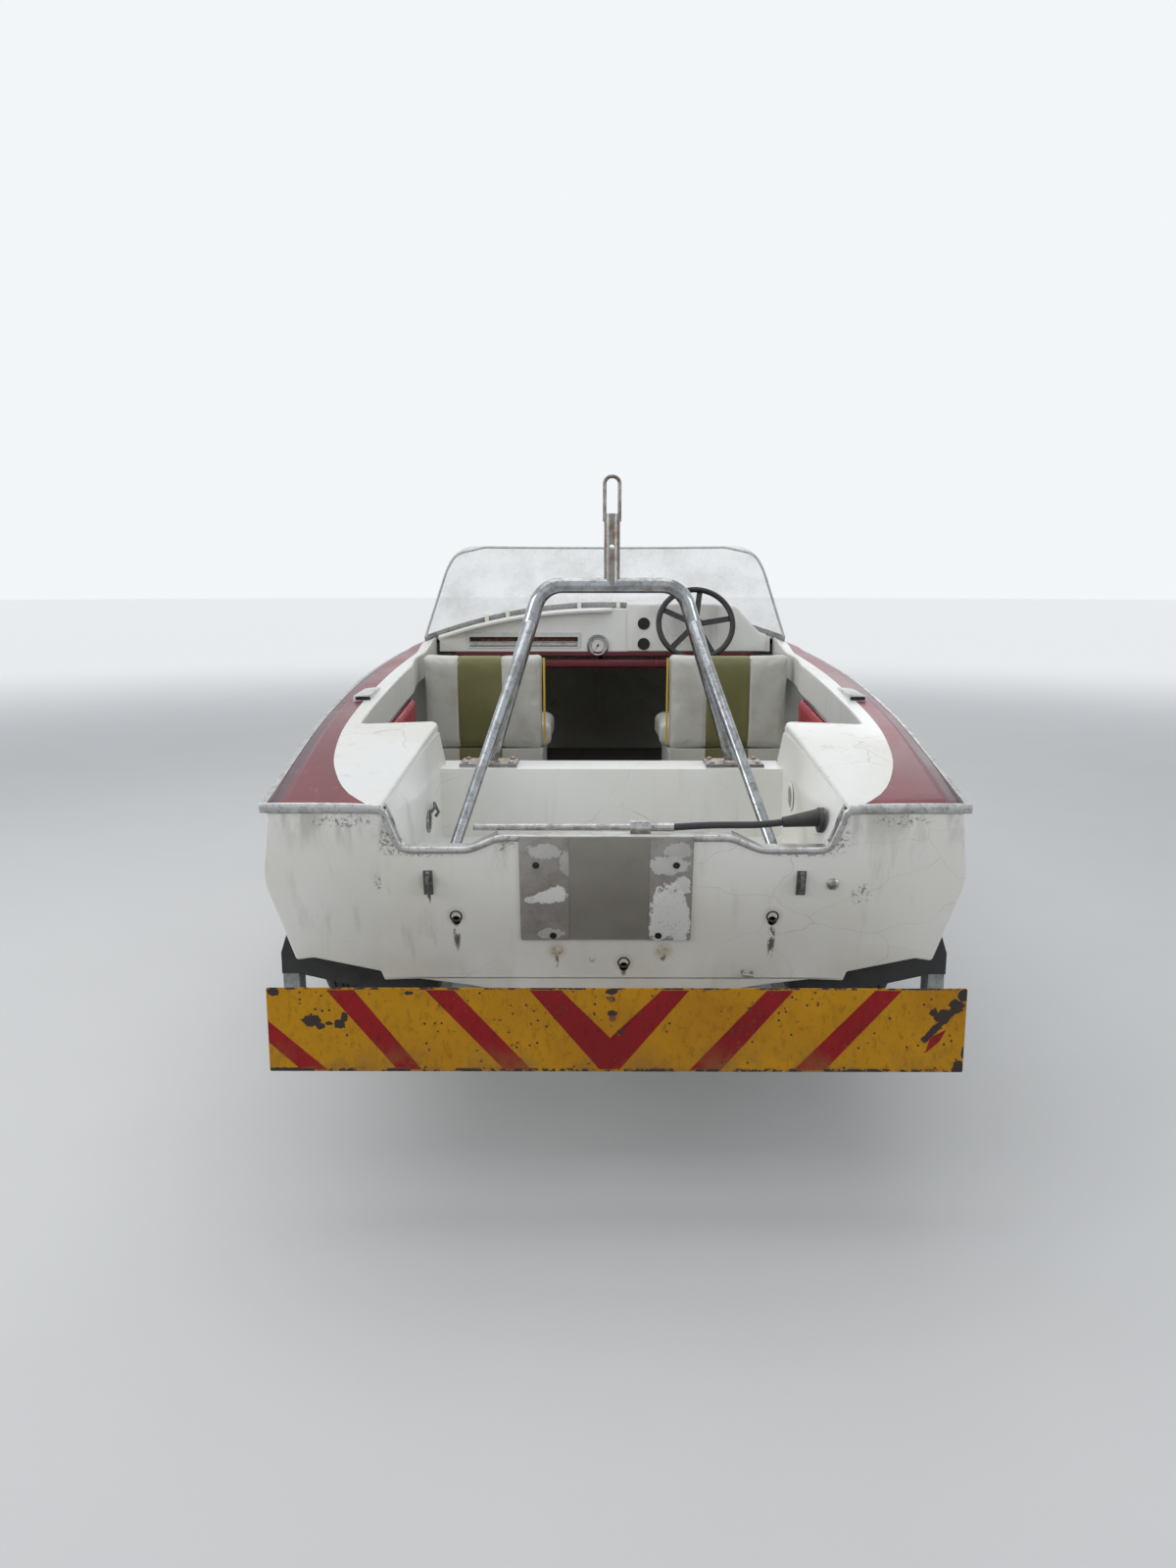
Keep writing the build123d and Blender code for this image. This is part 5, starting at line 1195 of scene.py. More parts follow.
def gauges():
    """The round gauge with its dial, and the two small dark ones."""
    x, z = GAUGE
    facing_aft("gauge_bezel", x, z, [
        (0.0475, 0), (0.0478, 0.004), (0.0465, 0.009), (0.0435, 0.0125), (0.040, 0.013), (0.0375, 0.011),
        (0.0368, 0.007), (0.0365, 0.004)], CHROME, replaces=["gauges"])
    facing_aft("gauge_face", x, z, [(0, 0.005), (0.0368, 0.005)], DIAL, replaces=["gauges"])
    facing_aft("gauge_inner_ring", x, z, [
        (0.0275, 0.005), (0.0277, 0.0057), (0.0290, 0.0057), (0.0292, 0.005)], BLACK, replaces=["gauges"])
    ticks = []
    for k in range(19):
        inner, half = (0.0295, 0.0008) if k % 3 == 0 else (0.0315, 0.0004)
        ticks.append(dial_mark("tick", 225 - 270 * k / 18, box_outline(inner, -half, 0.0350, half), 0.0048))
    joined("gauge_ticks", ticks)
    needle = ((-0.008, -0.0012), (0.026, -0.0003), (0.026, 0.0003), (-0.008, 0.0012))
    dial_mark("gauge_needle", 238, needle, 0.0060)
    facing_aft("gauge_hub", x, z, [(0.0045, 0.005), (0.0045, 0.0075), (0.003, 0.0085), (0, 0.0087)], BLACK,
               turns=20)
    for k, (x, z) in enumerate(SMALL_GAUGES):
        facing_aft(f"small_gauge_{k}", x, z, [
            (0.0262, 0.0), (0.0264, 0.008), (0.0250, 0.0105), (0.0225, 0.0105), (0.0218, 0.0075),
            (0, 0.0075)], BLACK, replaces=["gauges"])


SLOT = (-0.590, 1.210, -0.117, 1.252)
SLOT_ENDS = (-0.592, -0.115)


def dash_face():
    """Dashboard face, open at the slot and the round gauge."""
    edge = [(x, fore_z(x, SCREEN) - 0.002) for x in np.linspace(0.72, -0.72, 41)]
    outline = [(-0.72, 1.190), (0.72, 1.190)] + edge
    panel = prism("dash_face", outline, place(DASH), place(SCREEN), "y", WHITE, replaces=["dashboard"])
    cut(panel, [
        prism("hole_slot", box_outline(*SLOT), place(2.4), place(2.5), "y", WHITE),
        facing_aft("hole_gauge", *GAUGE, [(0, -0.05), (0.040, -0.05), (0.040, 0.05), (0, 0.05)], WHITE)])


def dash_slot():
    """Rusty tray in the slot, its pale frame, and the bar and rail across it."""
    block("slot_tray", (-0.600, place(2.452), 1.200), (-0.107, place(2.50), 1.264), RUST)
    outer = rounded(box_outline(-0.603, 1.203, -0.104, 1.272), 0.006)
    inner = rounded(box_outline(-0.590, 1.211, -0.117, 1.252), 0.003)
    count = len(inner)
    points = [(x, place(DASH - depth), z)
              for depth in (0.0, 0.004) for line in (outer, inner) for x, z in line]
    faces = []
    for k in range(count):
        n = (k + 1) % count
        faces.append((2 * count + k, 2 * count + n, 3 * count + n, 3 * count + k))
        faces.append((k, n, 2 * count + n, 2 * count + k))
        faces.append((count + k, 3 * count + k, 3 * count + n, count + n))
    bevel(mesh("slot_frame", points, faces, VENT_WHITE), 0.0012, 2)
    left, right = SLOT_ENDS
    block("slot_bar", (left, place(DASH - 0.0035), 1.2135), (right, place(DASH + 0.003), 1.2290), ALUMINIUM)
    tube("slot_rail", [(x, place(DASH - 0.004), 1.2310) for x in SLOT_ENDS], 0.0022, STEEL)


def dash_ledge():
    """Lip over the dashboard from its port end to the helm, fading out at both ends."""
    rows = []
    for x in np.linspace(-0.725, 0.03, 34):
        top = fore_z(min(max(x, -0.72), 0.72), SCREEN)
        out = 0.040 * min(1, ease((x + 0.735) / 0.1)) * min(1, ease((0.045 - x) / 0.07))
        edge = DASH - out
        line = ((SCREEN + 0.012, -0.016), (DASH - out * 0.7, -0.018), (edge, -0.014), (edge - 0.002, -0.006),
                (edge + 0.004, 0.001), (DASH + 0.006, 0.004), (SCREEN + 0.03, 0.002))
        rows.append([(x, place(d), top + rise) for d, rise in line])
    thicken(grid("dash_ledge", rows, WHITE, sharp=60), 0.002)


COWL_TOP = smooth_curve(
    (0.09, 0.50, 0.56, 0.60, 0.645, 0.690, 0.72), (1.400, 1.392, 1.386, 1.352, 1.302, 1.262, 1.245),
)


def binnacle():
    """Cowl round the helm, running down to the deck before the screen."""
    rows = []
    inner, outer = 0.098, 0.702
    for x in [inner, inner] + list(np.linspace(inner + 0.004, outer, 40)):
        end = min(DASH + 0.17, SCREEN_CENTRE + math.sqrt(SCREEN_RADIUS ** 2 - x * x) - 0.045)
        deck = fore_z(x, end)
        top = deck - 0.002 if not rows else max(COWL_TOP(x), deck + 0.002)
        face = DASH - 0.006
        line = soften([(face, 1.193), (face, top), (DASH + 0.045, top + 0.001), (end, deck - 0.003)],
                      (0.016, 0.02), 5)
        rows.append([(x, place(d), z) for d, z in line])
    thicken(grid("binnacle", rows, WHITE, sharp=50), 0.003, sharp=50)


def dashboard():
    """Dashboard with its slot, ledge and binnacle."""
    dash_face()
    dash_slot()
    dash_ledge()
    binnacle()


HELM_X, HELM_Z, HELM_LEAN = 0.388, 1.272, math.radians(25)


def helm_parts():
    """Bolted hub of the steering wheel."""
    centre = Vector((HELM_X, place(DASH), HELM_Z))
    along = Vector((0, -math.cos(HELM_LEAN), math.sin(HELM_LEAN)))
    spun("wheel_hub_cap", centre + along * 0.095, along, [
        (0.031, 0), (0.031, 0.003), (0.027, 0.006), (0.012, 0.0075), (0.0, 0.0078)], BLACK, 32, body=WHEEL)
    _, side, up = square_to(along)
    angles = [math.radians(72 * k + 46) for k in range(5)]
    places = [centre + along * 0.099 + (side * math.cos(a) + up * math.sin(a)) * 0.021 for a in angles]
    head = [(0.0032, 0), (0.0032, 0.0035), (0, 0.0038)]
    joined("hub_bolts", studs(places, along, head, STEEL, 12, body=WHEEL))


# Windscreen, curved in plan and raked
SCREEN_RADIUS = 1.2617
SCREEN_CENTRE = 2.7343 - SCREEN_RADIUS
SCREEN_FOOT = 1.150
SCREEN_RAKE = math.tan(math.radians(28))


def screen_point(x, z, out=0.0):
    """Place on the screen's aft face at a half-breadth and height."""
    d = SCREEN_CENTRE + math.sqrt(SCREEN_RADIUS ** 2 - x * x) - (z - SCREEN_FOOT) * SCREEN_RAKE
    return x, place(d + out), z


def screen_trim():
    """Trim along the windscreen's edge and the clips at its foot."""
    corners = [(0.778, fore_z(0.778, SCREEN) + 0.020), (0.668, 1.545), (0.628, 1.606), (0.510, 1.633)]
    edge = soften(corners, (0.06, 0.05), 6)
    dense = []
    for (xa, za), (xb, zb) in zip(edge, edge[1:]):
        steps = max(1, int(math.hypot(xb - xa, zb - za) / 0.03))
        dense += [(xa + (xb - xa) * k / steps, za + (zb - za) * k / steps) for k in range(steps)]
    half = dense + [(x, 1.6335) for x in np.linspace(0.51, 0.0, 16)]
    line = half + [(-x, z) for x, z in reversed(half[:-1])]
    tube("screen_edge", [screen_point(x, z, 0.0025) for x, z in line], 0.0054, EDGE, turns=10)
    clips = []
    for x in (-0.52, -0.430, -0.112, 0.062, 0.30, 0.60):
        x, y, z = screen_point(x, fore_z(x, 2.6) + 0.012)
        low, high = (x - 0.009, y - 0.024, z - 0.012), (x + 0.009, y - 0.004, z + 0.020)
        clips.append(block("screen_clip", low, high, WHITE, 0.003))
    joined("screen_clips", clips)


# Warning board
BOARD_HALF, BOARD_LOW, BOARD_TOP, BOARD_AT = 0.760, 0.436, 0.628, -0.198
# Corners of its bars, counted across and down in small steps from the board's upper port corner
BARS_CORNER, BARS_ACROSS, BARS_DOWN = (272.5, 1009.0), 713.0, 84.5
BARS = (
    ((334, 1011), (362, 1011), (429, 1091.5), (404, 1091.5)),
    ((435, 1011), (464, 1011), (542, 1091.5), (514, 1091.5)),
    ((273, 1042), (332, 1092), (305, 1092), (273, 1064)),
    ((782, 1011), (809, 1011), (737, 1091.5), (705, 1091.5)),
    ((892, 1011), (919, 1011), (844, 1091.5), (812, 1091.5)),
    ((966, 1050), (960, 1062), (946, 1074), (950, 1058)),
    ((541, 1011), (573, 1011), (623, 1059), (675, 1011), (703, 1011), (633, 1091), (612, 1091)),
)


def on_board(u, v):
    """The x and z of a bar's corner."""
    left, top = BARS_CORNER
    return (-BOARD_HALF + 2 * BOARD_HALF * (u - left) / BARS_ACROSS,
            BOARD_TOP - (BOARD_TOP - BOARD_LOW) * (v - top) / BARS_DOWN)


def board_stripes():
    """Yellow board with its red bars and two bolts."""
    face = place(BOARD_AT)
    outline = rounded(box_outline(-BOARD_HALF, BOARD_LOW, BOARD_HALF, BOARD_TOP), 0.004)
    prism("board_panel", outline, face, face + 0.004, "y", BOARD_YELLOW, 0.0008, replaces=["hazard_board"])
    joined("board_stripes", [
        prism("stripe", [on_board(*at) for at in bar], face - 0.0004, face + 0.0005, "y", BOARD_RED)
        for bar in BARS])
    places = [(x, face, z) for x, z in ((-0.010, 0.604), (-0.008, 0.560))]
    head = [(0.0075, 0), (0.0075, 0.0010), (0.005, 0.0015), (0, 0.0016)]
    joined("board_bolts", studs(places, (0, -1, 0), head, RUST, 8))


# Fittings of the transom, well and arch
RING_KNOT = ((0.004, 0.012, 0.020), (0.012, 0.020, 0.030), (0.010, 0.034, 0.040), (0.013, 0.040, 0.028),
             (0.020, 0.036, 0.016), (0.012, 0.034, 0.004))


def on_face(x, z, out=0.0):
    """Place on the transom's face, out from it."""
    return Vector((x, place(transom_fwd(z)) - out * math.cos(TILT), z - out * math.sin(TILT)))


FACE_OUT = Vector((0, -math.cos(TILT), -math.sin(TILT)))


def transom_fittings():
    """Drains, the blanked fitting, sealed holes, the eyes' screws and the hook."""
    for k, (x, z) in enumerate(DRAINS):
        spun(f"drain_ring_{k}", on_face(x, z, -0.0005), FACE_OUT, [
            (0.0155, 0), (0.0152, 0.0012), (0.0138, 0.0018), (0.0122, 0.0016), (0.0112, 0.0006),
            (DRAIN_RADIUS, -0.004)], BROWN_RUBBER, 28, replaces=["drain_fittings"])
        # Black discs 30 mm inside the drain bores: painted shade for the dark inside of the drains.
        depth = [(0, 0), (0.0112, 0), (0.0112, 0.02)]
        spun(f"drain_shade_disc_{k}", on_face(x, z, -0.030), FACE_OUT, depth, BLACK, 24)
    spun("blank_fitting", on_face(0.512, 0.797), FACE_OUT, [
        (0.0145, 0), (0.0145, 0.003), (0.012, 0.0055), (0.006, 0.0065), (0, 0.007)], STEEL, 28,
        replaces=["drain_fittings"])
    made = []
    for x, z, size in ((-0.138, 0.622, 0.0085), (0.118, 0.622, 0.0085), (-0.052, 0.596, 0.004)):
        made.append(spun("sealed_hole", on_face(x, z), FACE_OUT, [
            (size * 1.7, 0), (size * 1.6, 0.0012), (size, 0.0022), (size * 0.5, 0.0030), (0, 0.0032)],
            FILLER, 24))
    places = [on_face(x, z, 0.003) for x in (-0.437, 0.437) for z in (0.824, 0.776)]
    made += studs(places, FACE_OUT, [(0.0052, 0), (0.0048, 0.0016), (0, 0.0024)], STEEL, 16)
    joined("transom_screws", made)
    hook = [on_face(0.312, 0.564, 0.001), on_face(0.312, 0.562, 0.014),
            on_face(0.334, 0.560, 0.014), on_face(0.334, 0.562, 0.001)]
    tube("hull_hook", hook, 0.0042, STEEL, turns=10)


PLATE_HOLES = ((-0.1837, 0.846), (0.1437, 0.846), (-0.1454, 0.663), (0.1054, 0.663))


def motor_plate_parts():
    """Worn pads on the motor plate and black discs at its bolt holes, painted shade for the holes."""
    for name, box, out, look in (("middle", (-0.105, 0.652, 0.080, 0.914), 0.0062, PLATE_DARK),
                                 ("port", (-0.2215, 0.650, -0.1065, 0.916), 0.0048, PLATE_SCARRED),
                                 ("starboard", (0.0815, 0.650, 0.1815, 0.916), 0.0048, PLATE_SCARRED)):
        raked_plate(f"plate_{name}", rounded(box_outline(*box), 0.002, 2), -0.0035, -out, look, 0.0006, 2)
    places = [on_face(x, z, 0.0049) for x, z in PLATE_HOLES]
    # Black discs with a raised rim over the bolt holes: painted shade for the open holes.
    rim = [(0.0085, 0), (0.008, 0.0012), (0.0066, 0.0016), (0.0062, 0.0004), (0, 0.0002)]
    joined("plate_hole_shades", studs(places, FACE_OUT, rim, BLACK, 20))


FOOT_AT, FOOT_HALF = (0.338, 0.575, 1.0), (0.0785, 0.0545)


def arch_parts():
    """Foot plates of the arch with their welds and bolts."""
    parts, bolts = [], []
    for _, side in SIDES:
        x, y, z = side * FOOT_AT[0], place(FOOT_AT[1]), FOOT_AT[2]
        wide, deep = FOOT_HALF
        outline = rounded(box_outline(x - wide, y - deep, x + wide, y + deep), 0.006)
        parts.append(prism("foot", outline, z, z + 0.0022, "z", RUSTY_PLATE, 0.0008))
        parts.append(spun("weld", (x, y, z + 0.001), (0, 0, 1), [
            (0.0275, 0), (0.0262, 0.004), (0.0235, 0.0065), (0.021, 0.007)], RUSTY_PLATE, 32))
        places = [(x + dx, y + dy, z + 0.002) for dx in (-0.062, 0.062) for dy in (-0.038, 0.038)]
        bolts += studs(places, (0, 0, 1), [
            (0.0082, 0), (0.0082, 0.0012), (0.0062, 0.0014), (0.0062, 0.0055), (0.004, 0.0065), (0, 0.0067)],
            STEEL, 6)
    joined("arch_feet", parts)
    joined("arch_bolts", bolts)


def well_rings():
    """The open ring to port with its knotted cord, and the closed one to starboard."""
    for name, side, d, z, size, look, inside in (("port", -1, 0.33, 0.885, 0.030, CHROME, BLACK),
                                                 ("starboard", 1, 0.40, 0.935, 0.036, WHITE, SEALED_GREY)):
        at = Vector((side * (well_half(d) - WELL_SKIN - 0.0002), place(d), z))
        spun(f"well_ring_{name}", at, (-side, 0, 0), [
            (size + 0.0015, 0), (size, 0.0025), (size - 0.003, 0.0035), (size - 0.006, 0.003),
            (size - 0.007, 0.0012), (size - 0.0072, 0)], look, 40, replaces=["well_rings"])
        # To port a black disc fills the open ring as painted shade for the hole through the well's side; to
        # starboard a grey disc closes the ring.
        spun(f"well_hole_{name}", at, (-side, 0, 0), [(0, 0.0012), (size - 0.0068, 0.0014)], inside, 36)
        if name == "port":
            tube("ring_cord", [at + Vector(p) for p in RING_KNOT], 0.0042, WEATHERED, turns=10)


VENT_MIDDLE = 0.754


def vents():
    """Low scoop vents, each with a black block facing aft as painted shade for its opening."""
    plan = rounded([(-0.025, 0.907), (0.030, 0.907), (0.034, 1.108), (-0.020, 1.108)],
                   (0.006, 0.006, 0.014, 0.014))
    middle = VENT_MIDDLE
    for name, side in SIDES:
        rings = []
        for grow, rise in ((0.0, -0.012), (0.0, 0.0), (-0.0015, 0.9), (-0.004, 1.0)):
            ring = []
            for x, d in inset(plan, -grow):
                tall = 0.0175 - 0.0125 * ease((d - 0.915) / 0.19)
                height = rise if rise <= 0 else tall * rise
                ring.append((side * (middle + x), place(d), deck_z(middle + x, d) + height))
            rings.append(ring)
        count = len(plan)
        points = [p for ring in rings for p in ring]
        faces = grid_faces(len(rings), count, True) + [tuple(range(3 * count, 4 * count))]
        mesh(f"vent_scoop_{name}", points, faces, VENT_WHITE, sharp=40, replaces=["deck_vents"])
        # Black block at the scoop's aft end: painted shade for the vent's opening.
        low = deck_z(middle, 0.907)
        block(f"vent_mouth_shade_{name}", (side * middle - 0.021, place(0.9062), low + 0.0015),
              (side * middle + 0.024, place(0.9090), low + 0.0125), BLACK, 0.0008, replaces=["deck_vents"])


# Road wheels
WHEEL_MIDDLE = (0.915, 1.450, 0.289)
TYRE_RADIUS, TYRE_HALF = 0.289, 0.0775
TYRE_SIDE = (
    (0.052, 0.167), (0.0695, 0.181), (TYRE_HALF, 0.217), (0.0765, 0.239), (0.0745, 0.253), (0.0700, 0.271),
    (0.0595, 0.283), (0.047, 0.288), (0.040, 0.289), (0.037, 0.289), (0.036, 0.282), (0.031, 0.282),
    (0.030, 0.289), (0.011, 0.289), (0.010, 0.282), (0.005, 0.282), (0.004, 0.289),
)
# Pressed disc of the rim, radius and distance outboard, with slots between the rows given
RIM_DISC = (
    (0.1668, 0.0500), (0.1655, 0.0520), (0.1600, 0.0520), (0.1585, 0.0500), (0.1570, 0.0400),
    (0.1495, 0.0300), (0.1465, 0.0262), (0.1400, 0.0250), (0.1310, 0.0275), (0.1270, 0.0285),
    (0.1080, 0.0285), (0.1040, 0.0285), (0.0980, 0.0275), (0.0880, 0.0250), (0.0830, 0.0215),
    (0.0640, 0.0150), (0.0590, 0.0130), (0.0300, 0.0130),
)
SLOT_ROWS = {8: (4, 5, 6), 9: (3, 4, 5, 6, 7), 10: (4, 5, 6)}
LUGS = 40
NUTS = 0.050


def tyre_lugs(name, centre, side):
    """Shoulder blocks of the tread, staggered from one side to the other."""
    points, faces = [], []
    for shift, side_of in ((0, 1), (0.5, -1)):
        for k in range(LUGS):
            a = 2 * math.pi * (k + shift) / LUGS
            out, along = Vector((0, math.cos(a), math.sin(a))), Vector((0, -math.sin(a), math.cos(a)))
            first = len(points)
            for x, r in ((0.0385, TYRE_RADIUS - 0.0001), (0.064, TYRE_RADIUS - 0.0090)):
                for wide in (-0.0068, 0.0068):
                    for depth in (0.0065, 0.0):
                        across = Vector((side * side_of * x, 0, 0))
                        points.append(centre + across + out * (r - depth) + along * wide)
            box = [(0, 1, 3, 2), (4, 6, 7, 5), (0, 4, 5, 1), (2, 3, 7, 6), (1, 5, 7, 3), (0, 2, 6, 4)]
            faces += [tuple(first + i for i in face) for face in box]
    mesh(f"tyre_lugs_{name}", points, faces, TYRE, body=f"wheel_{name}", replaces=[f"tyre_{name}"])


def rim_disc(name, centre, side):
    """Pressed steel disc with eight slots, and the barrel behind it."""
    count, slots = 96, 8
    points = []
    for r, x in RIM_DISC:
        points += [centre + Vector((side * x, r * math.cos(a), r * math.sin(a))) for a in round_turn(count)]
    faces = []
    for i, face in enumerate(grid_faces(len(RIM_DISC), count, True)):
        row, column = divmod(i, count)
        if column % (count // slots) not in SLOT_ROWS.get(row, ()):
            faces.append(face)
    body, node = f"wheel_{name}", f"rim_{name}"
    disc = mesh(f"rim_disc_{name}", points, faces, RIM, body=body, replaces=[node], sharp=40)
    thicken(disc, 0.0025, sharp=40)
    spun(f"rim_barrel_{name}", centre, (side, 0, 0), [
        (0.1668, 0.049), (0.1590, 0.047), (0.1500, 0.029), (0.1470, 0.020), (0.1460, -0.020),
        (0.1560, -0.043), (0.1565, -0.052), (0.1668, -0.052), (0.1668, -0.046), (0.1600, -0.040),
        (0.1490, -0.018), (0.1490, 0.018)], RIM, 64, body=body, replaces=[node], sharp=40)


def road_wheels():
    """Tyres, rims, nuts and hub caps."""
    x, d, z = WHEEL_MIDDLE
    for name, side in SIDES:
        body = f"wheel_{name}"
        centre = Vector((side * x, place(d), z))
        line = [(r, out) for out, r in TYRE_SIDE] + [(r, -out) for out, r in reversed(TYRE_SIDE)]
        spun(f"tyre_body_{name}", centre, (side, 0, 0), line, TYRE, 96, body=body, replaces=[f"tyre_{name}"],
             sharp=45)
        tyre_lugs(name, centre, side)
        rim_disc(name, centre, side)
        angles = [math.radians(45 + 90 * k) for k in range(4)]
        places = [centre + Vector((side * 0.013, NUTS * math.cos(a), NUTS * math.sin(a))) for a in angles]
        joined(f"wheel_nuts_{name}", studs(places, (side, 0, 0), [
            (0.0125, 0), (0.0110, 0.0025), (0.0095, 0.003), (0.0095, 0.013), (0.006, 0.016), (0, 0.0165)],
            STEEL, 6, body=body))
        spun(f"hub_cap_{name}", centre + Vector((side * 0.0115, 0, 0)), (side, 0, 0), [
            (0.031, 0), (0.0295, 0.020), (0.026, 0.027), (0.012, 0.031), (0, 0.0315)], ZINC, 32, body=body)


# Fastenings of the trailer
def hex_head(at, axis, size=0.0095):
    """A bolt's head on its washer."""
    return spun("hex_head", at, axis, [
        (size * 1.45, 0), (size * 1.4, 0.0016), (size, 0.0018), (size, 0.0075), (size * 0.7, 0.0090),
        (0, 0.0092)], STEEL, 6)


def trailer_bolts():
    """U-bolts on the axle and the heads at the hangers, cross members and winch post."""
    made = []
    for _, side in SIDES:
        for d in (1.413, 1.487):
            x0, x1, y = side * 0.426, side * 0.474, place(d)
            line = [(x0, y, 0.250), (x0, y, 0.338), (x0 + side * 0.006, y, 0.345),
                    (x1 - side * 0.006, y, 0.345), (x1, y, 0.338), (x1, y, 0.250)]
            made.append(tube("axle_clip", line, 0.0048, ZINC, turns=10))
            made += [hex_head((x, y, 0.2585), (0, 0, -1), 0.0085) for x in (x0, x1)]
        middle = side * 0.450
        plate = rounded(box_outline(middle - 0.036, place(1.397), middle + 0.036, place(1.503)), 0.008)
        made.append(prism("clip_plate", plate, 0.2585, 0.2655, "z", ZINC, 0.001))
        outward = (side, 0, 0)
        made += [hex_head((side * 0.4785, place(d), 0.3605), outward) for d in (1.150, 1.750)]
        made += [hex_head((side * 0.470, place(d), z), outward, 0.007)
                 for d in (0.480, 1.040, 2.080, 2.920) for z in (0.437, 0.463)]
        made += [hex_head((side * 0.046, place(d), 0.508), (0, 0, 1), 0.008) for d in (4.783, 4.920)]
    joined("trailer_bolts", made)


BUILDERS = (
    steering_cable, seats, side_pads, valance_pad, gauges, dashboard, helm_parts, screen_trim, board_stripes,
    transom_fittings, motor_plate_parts, arch_parts, well_rings, vents, road_wheels, trailer_bolts,
)


# Stage
LIGHTS = (
    ("sky_light", (-1.0, -1.0, 6.5), (0, -1.0, 0.8), (7, 7), 176),
    ("left_light", (-6.5, -5.0, 3.5), (0, -2.0, 0.9), (4, 3), 150),
    ("right_light", (6.0, -6.0, 2.6), (0, -2.0, 0.7), (3, 3), 85),
    ("back_light", (1.5, 6.5, 5.0), (0, 0, 1.0), (5, 3), 62),
)
CAMERA_AT = (-0.051, -5.22, 1.5)
CAMERA_TILT, CAMERA_TURN, CAMERA_LENS = 79.7, 0.25, 25.875


def put_in(name, data):
    """An object of the stage."""
    made = bpy.data.objects.new(name, data)
    bpy.context.collection.objects.link(made)
    return made


def seen_directly(tree):
    """1 for what is seen, mirrored or looked through, 0 for what only lights."""
    ray, seen = tree.nodes.new("ShaderNodeLightPath"), None
    for kind in ("Is Camera Ray", "Is Glossy Ray", "Is Transmission Ray"):
        if seen is None:
            seen = ray.outputs[kind]
            continue
        either = tree.nodes.new("ShaderNodeMath")
        either.operation = "MAXIMUM"
        tree.links.new(seen, either.inputs[0])
        tree.links.new(ray.outputs[kind], either.inputs[1])
        seen = either.outputs[0]
    return seen


def pale_floor():
    """A round floor that brightens away from the boat until it meets the sky."""
    floor = Shader("floor_pale")
    shade = floor.mix(floor.noise(1.5, 4), (0.66, 0.66, 0.65), (0.70, 0.70, 0.69))
    floor.finish(shade, 0.8)
    far = floor.node("ShaderNodeVectorMath", {0: floor.place}, operation="LENGTH")
    floor.surface.inputs["Emission Color"].default_value = (0.93, 0.94, 0.95, 1)
    glow = floor.ramp(far.outputs["Value"], 4.5, 17.0, 0.0, 0.50)
    glow = floor.times(glow, seen_directly(floor.material.node_tree))
    floor.put(floor.surface.inputs["Emission Strength"], glow)
    radii, count = (6.0, 12.0, 20.0, 40.0, 90.0), 64
    points = [(0, 0, 0)] + [(r * math.cos(a), r * math.sin(a), 0) for r in radii for a in round_turn(count)]
    faces = [(0, 1 + k, 1 + (k + 1) % count) for k in range(count)]
    data = bpy.data.meshes.new("floor")
    data.from_pydata(points, [], faces + grid_faces(len(radii), count, True, 1))
    data.materials.append(floor.material)
    return put_in("floor", data)


def lamp(name, at, aim, size, power):
    """Rectangular light turned towards a point."""
    light = bpy.data.lights.new(name, "AREA")
    light.shape = "RECTANGLE"
    light.size, light.size_y = size
    light.energy = power
    made = put_in(name, light)
    made.location = at
    made.rotation_euler = (Vector(aim) - Vector(at)).to_track_quat("-Z", "Y").to_euler()
    return made


def camera():
    """Camera at the picture's viewpoint."""
    view = bpy.data.cameras.new("camera")
    view.lens = CAMERA_LENS
    view.sensor_width = 36
    view.sensor_fit = "AUTO"
    view.clip_start, view.clip_end = 0.05, 100
    made = put_in("camera", view)
    made.location = CAMERA_AT
    made.rotation_euler = (math.radians(CAMERA_TILT), 0, math.radians(CAMERA_TURN))
    bpy.context.scene.camera = made
    return made


def sky():
    """Soft blue light with a pale background to be seen."""
    world = bpy.data.worlds.new("studio")
    bpy.context.scene.world = world
    world.use_nodes = True
    nodes, links = world.node_tree.nodes, world.node_tree.links
    lit, seen = nodes["Background"], nodes.new("ShaderNodeBackground")
    for look, colour, strength in ((lit, (0.82, 0.87, 0.95, 1), 0.5), (seen, (0.895, 0.925, 0.95, 1), 1.0)):
        look.inputs["Color"].default_value = colour
        look.inputs["Strength"].default_value = strength
    both = nodes.new("ShaderNodeMixShader")
    links.new(seen_directly(world.node_tree), both.inputs[0])
    links.new(lit.outputs[0], both.inputs[1])
    links.new(seen.outputs[0], both.inputs[2])
    links.new(both.outputs[0], nodes["World Output"].inputs["Surface"])


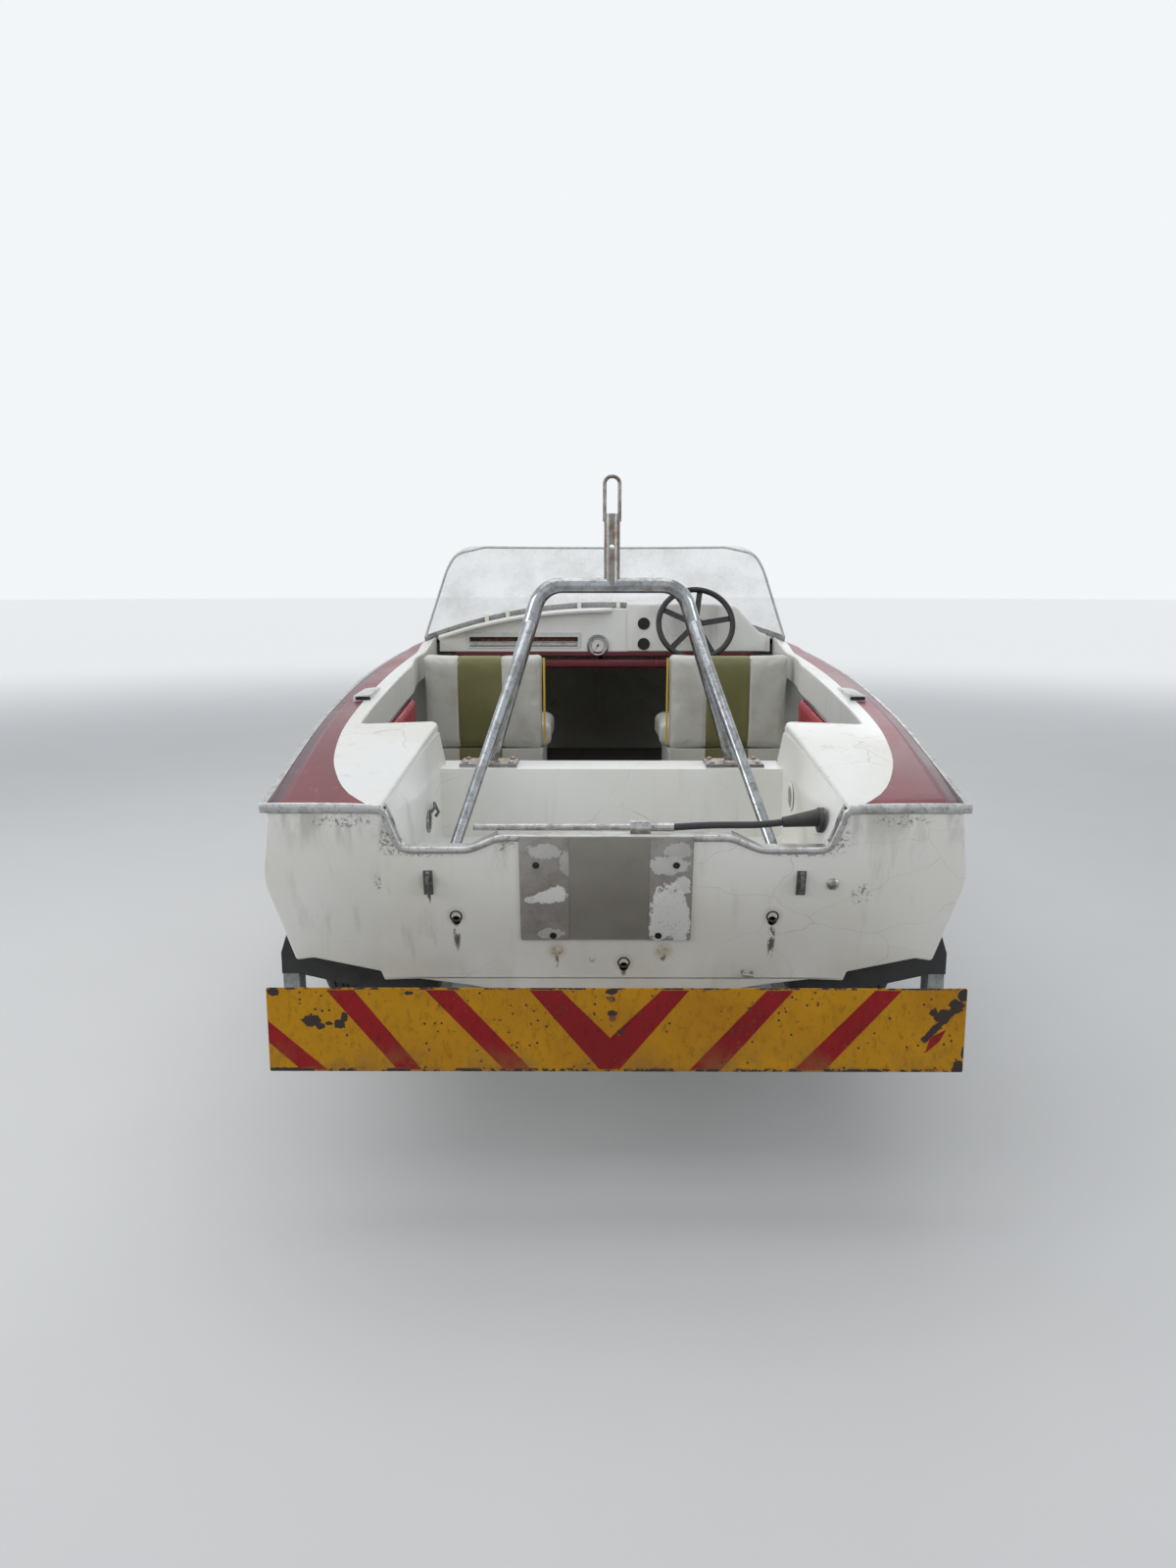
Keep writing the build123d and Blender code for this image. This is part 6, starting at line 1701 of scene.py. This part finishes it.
def stage():
    """Pale floor under a pale sky, lights and the camera."""
    pale_floor()
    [lamp(*row) for row in LIGHTS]
    camera()
    sky()
    bpy.context.scene.view_settings.view_transform = "Standard"


NODE_LOOKS = (
    (WHITE, "hull splash_well bulkhead dashboard seat_boxes deck_vents helm"),
    (RED, "side_deck_port side_deck_starboard foredeck"),
    (FLOOR_PAINT_SHADED, "cockpit_floor"),
    (ALUMINIUM, "rub_rail_port rub_rail_starboard transom_trim screen_base"),
    (PLATE, "motor_plate"),
    (CHROME, "tow_arch arch_stays"),
    (RUSTY_CHROME, "tow_post"),
    (WEATHERED, "ski_eyes"),
    (STEEL, "drain_fittings bow_cleat bow_eye steering_ram well_rings"),
    (HOSE, "steering_cable"),
    (BLACK, "gauges steering_wheel"),
    (ACRYLIC, "windscreen"),
    (CREAM_VINYL, "seat_back_port seat_back_starboard seat_cushion_port seat_cushion_starboard"),
    (RED_VINYL, "side_pad_port side_pad_starboard valance"),
    (ZINC, "trailer_frame axle roller_brackets coupling winch winch_post jockey_tube jockey_leg jockey_fork"),
    (ZINC, "mudguard_port mudguard_starboard"),
    (BLACK_METAL, "springs"),
    (DARK_PAINT, "cradle_arms"),
    (WEBBING, "winch_strap"),
    (RUBBER, "steering_boot keel_rollers bow_stop jockey_wheel"),
    (RIM, "rim_port rim_starboard"),
    (TYRE, "tyre_port tyre_starboard"),
    (BOARD_YELLOW, "hazard_board"),
)
BEVELLED = (
    "trailer_frame", "axle", "springs", "cradle_arms", "roller_brackets", "coupling", "winch", "winch_post",
    "jockey_tube", "jockey_leg", "jockey_fork", "mudguard_port", "mudguard_starboard", "seat_boxes",
)


def break_edges(node):
    """Rounds the sharp edges of folded and welded steel."""
    made = bpy.data.objects[node]
    add_tool(made, "WELD", merge_threshold=MERGE)
    add_tool(made, "BEVEL", width=0.0016, segments=2, limit_method="ANGLE", angle_limit=math.radians(50),
             harden_normals=True)


for look, nodes in NODE_LOOKS:
    for node in nodes.split():
        dress(node, look)
for node in BEVELLED:
    break_edges(node)
build_hull()
for builder in BUILDERS:
    builder()
stage()
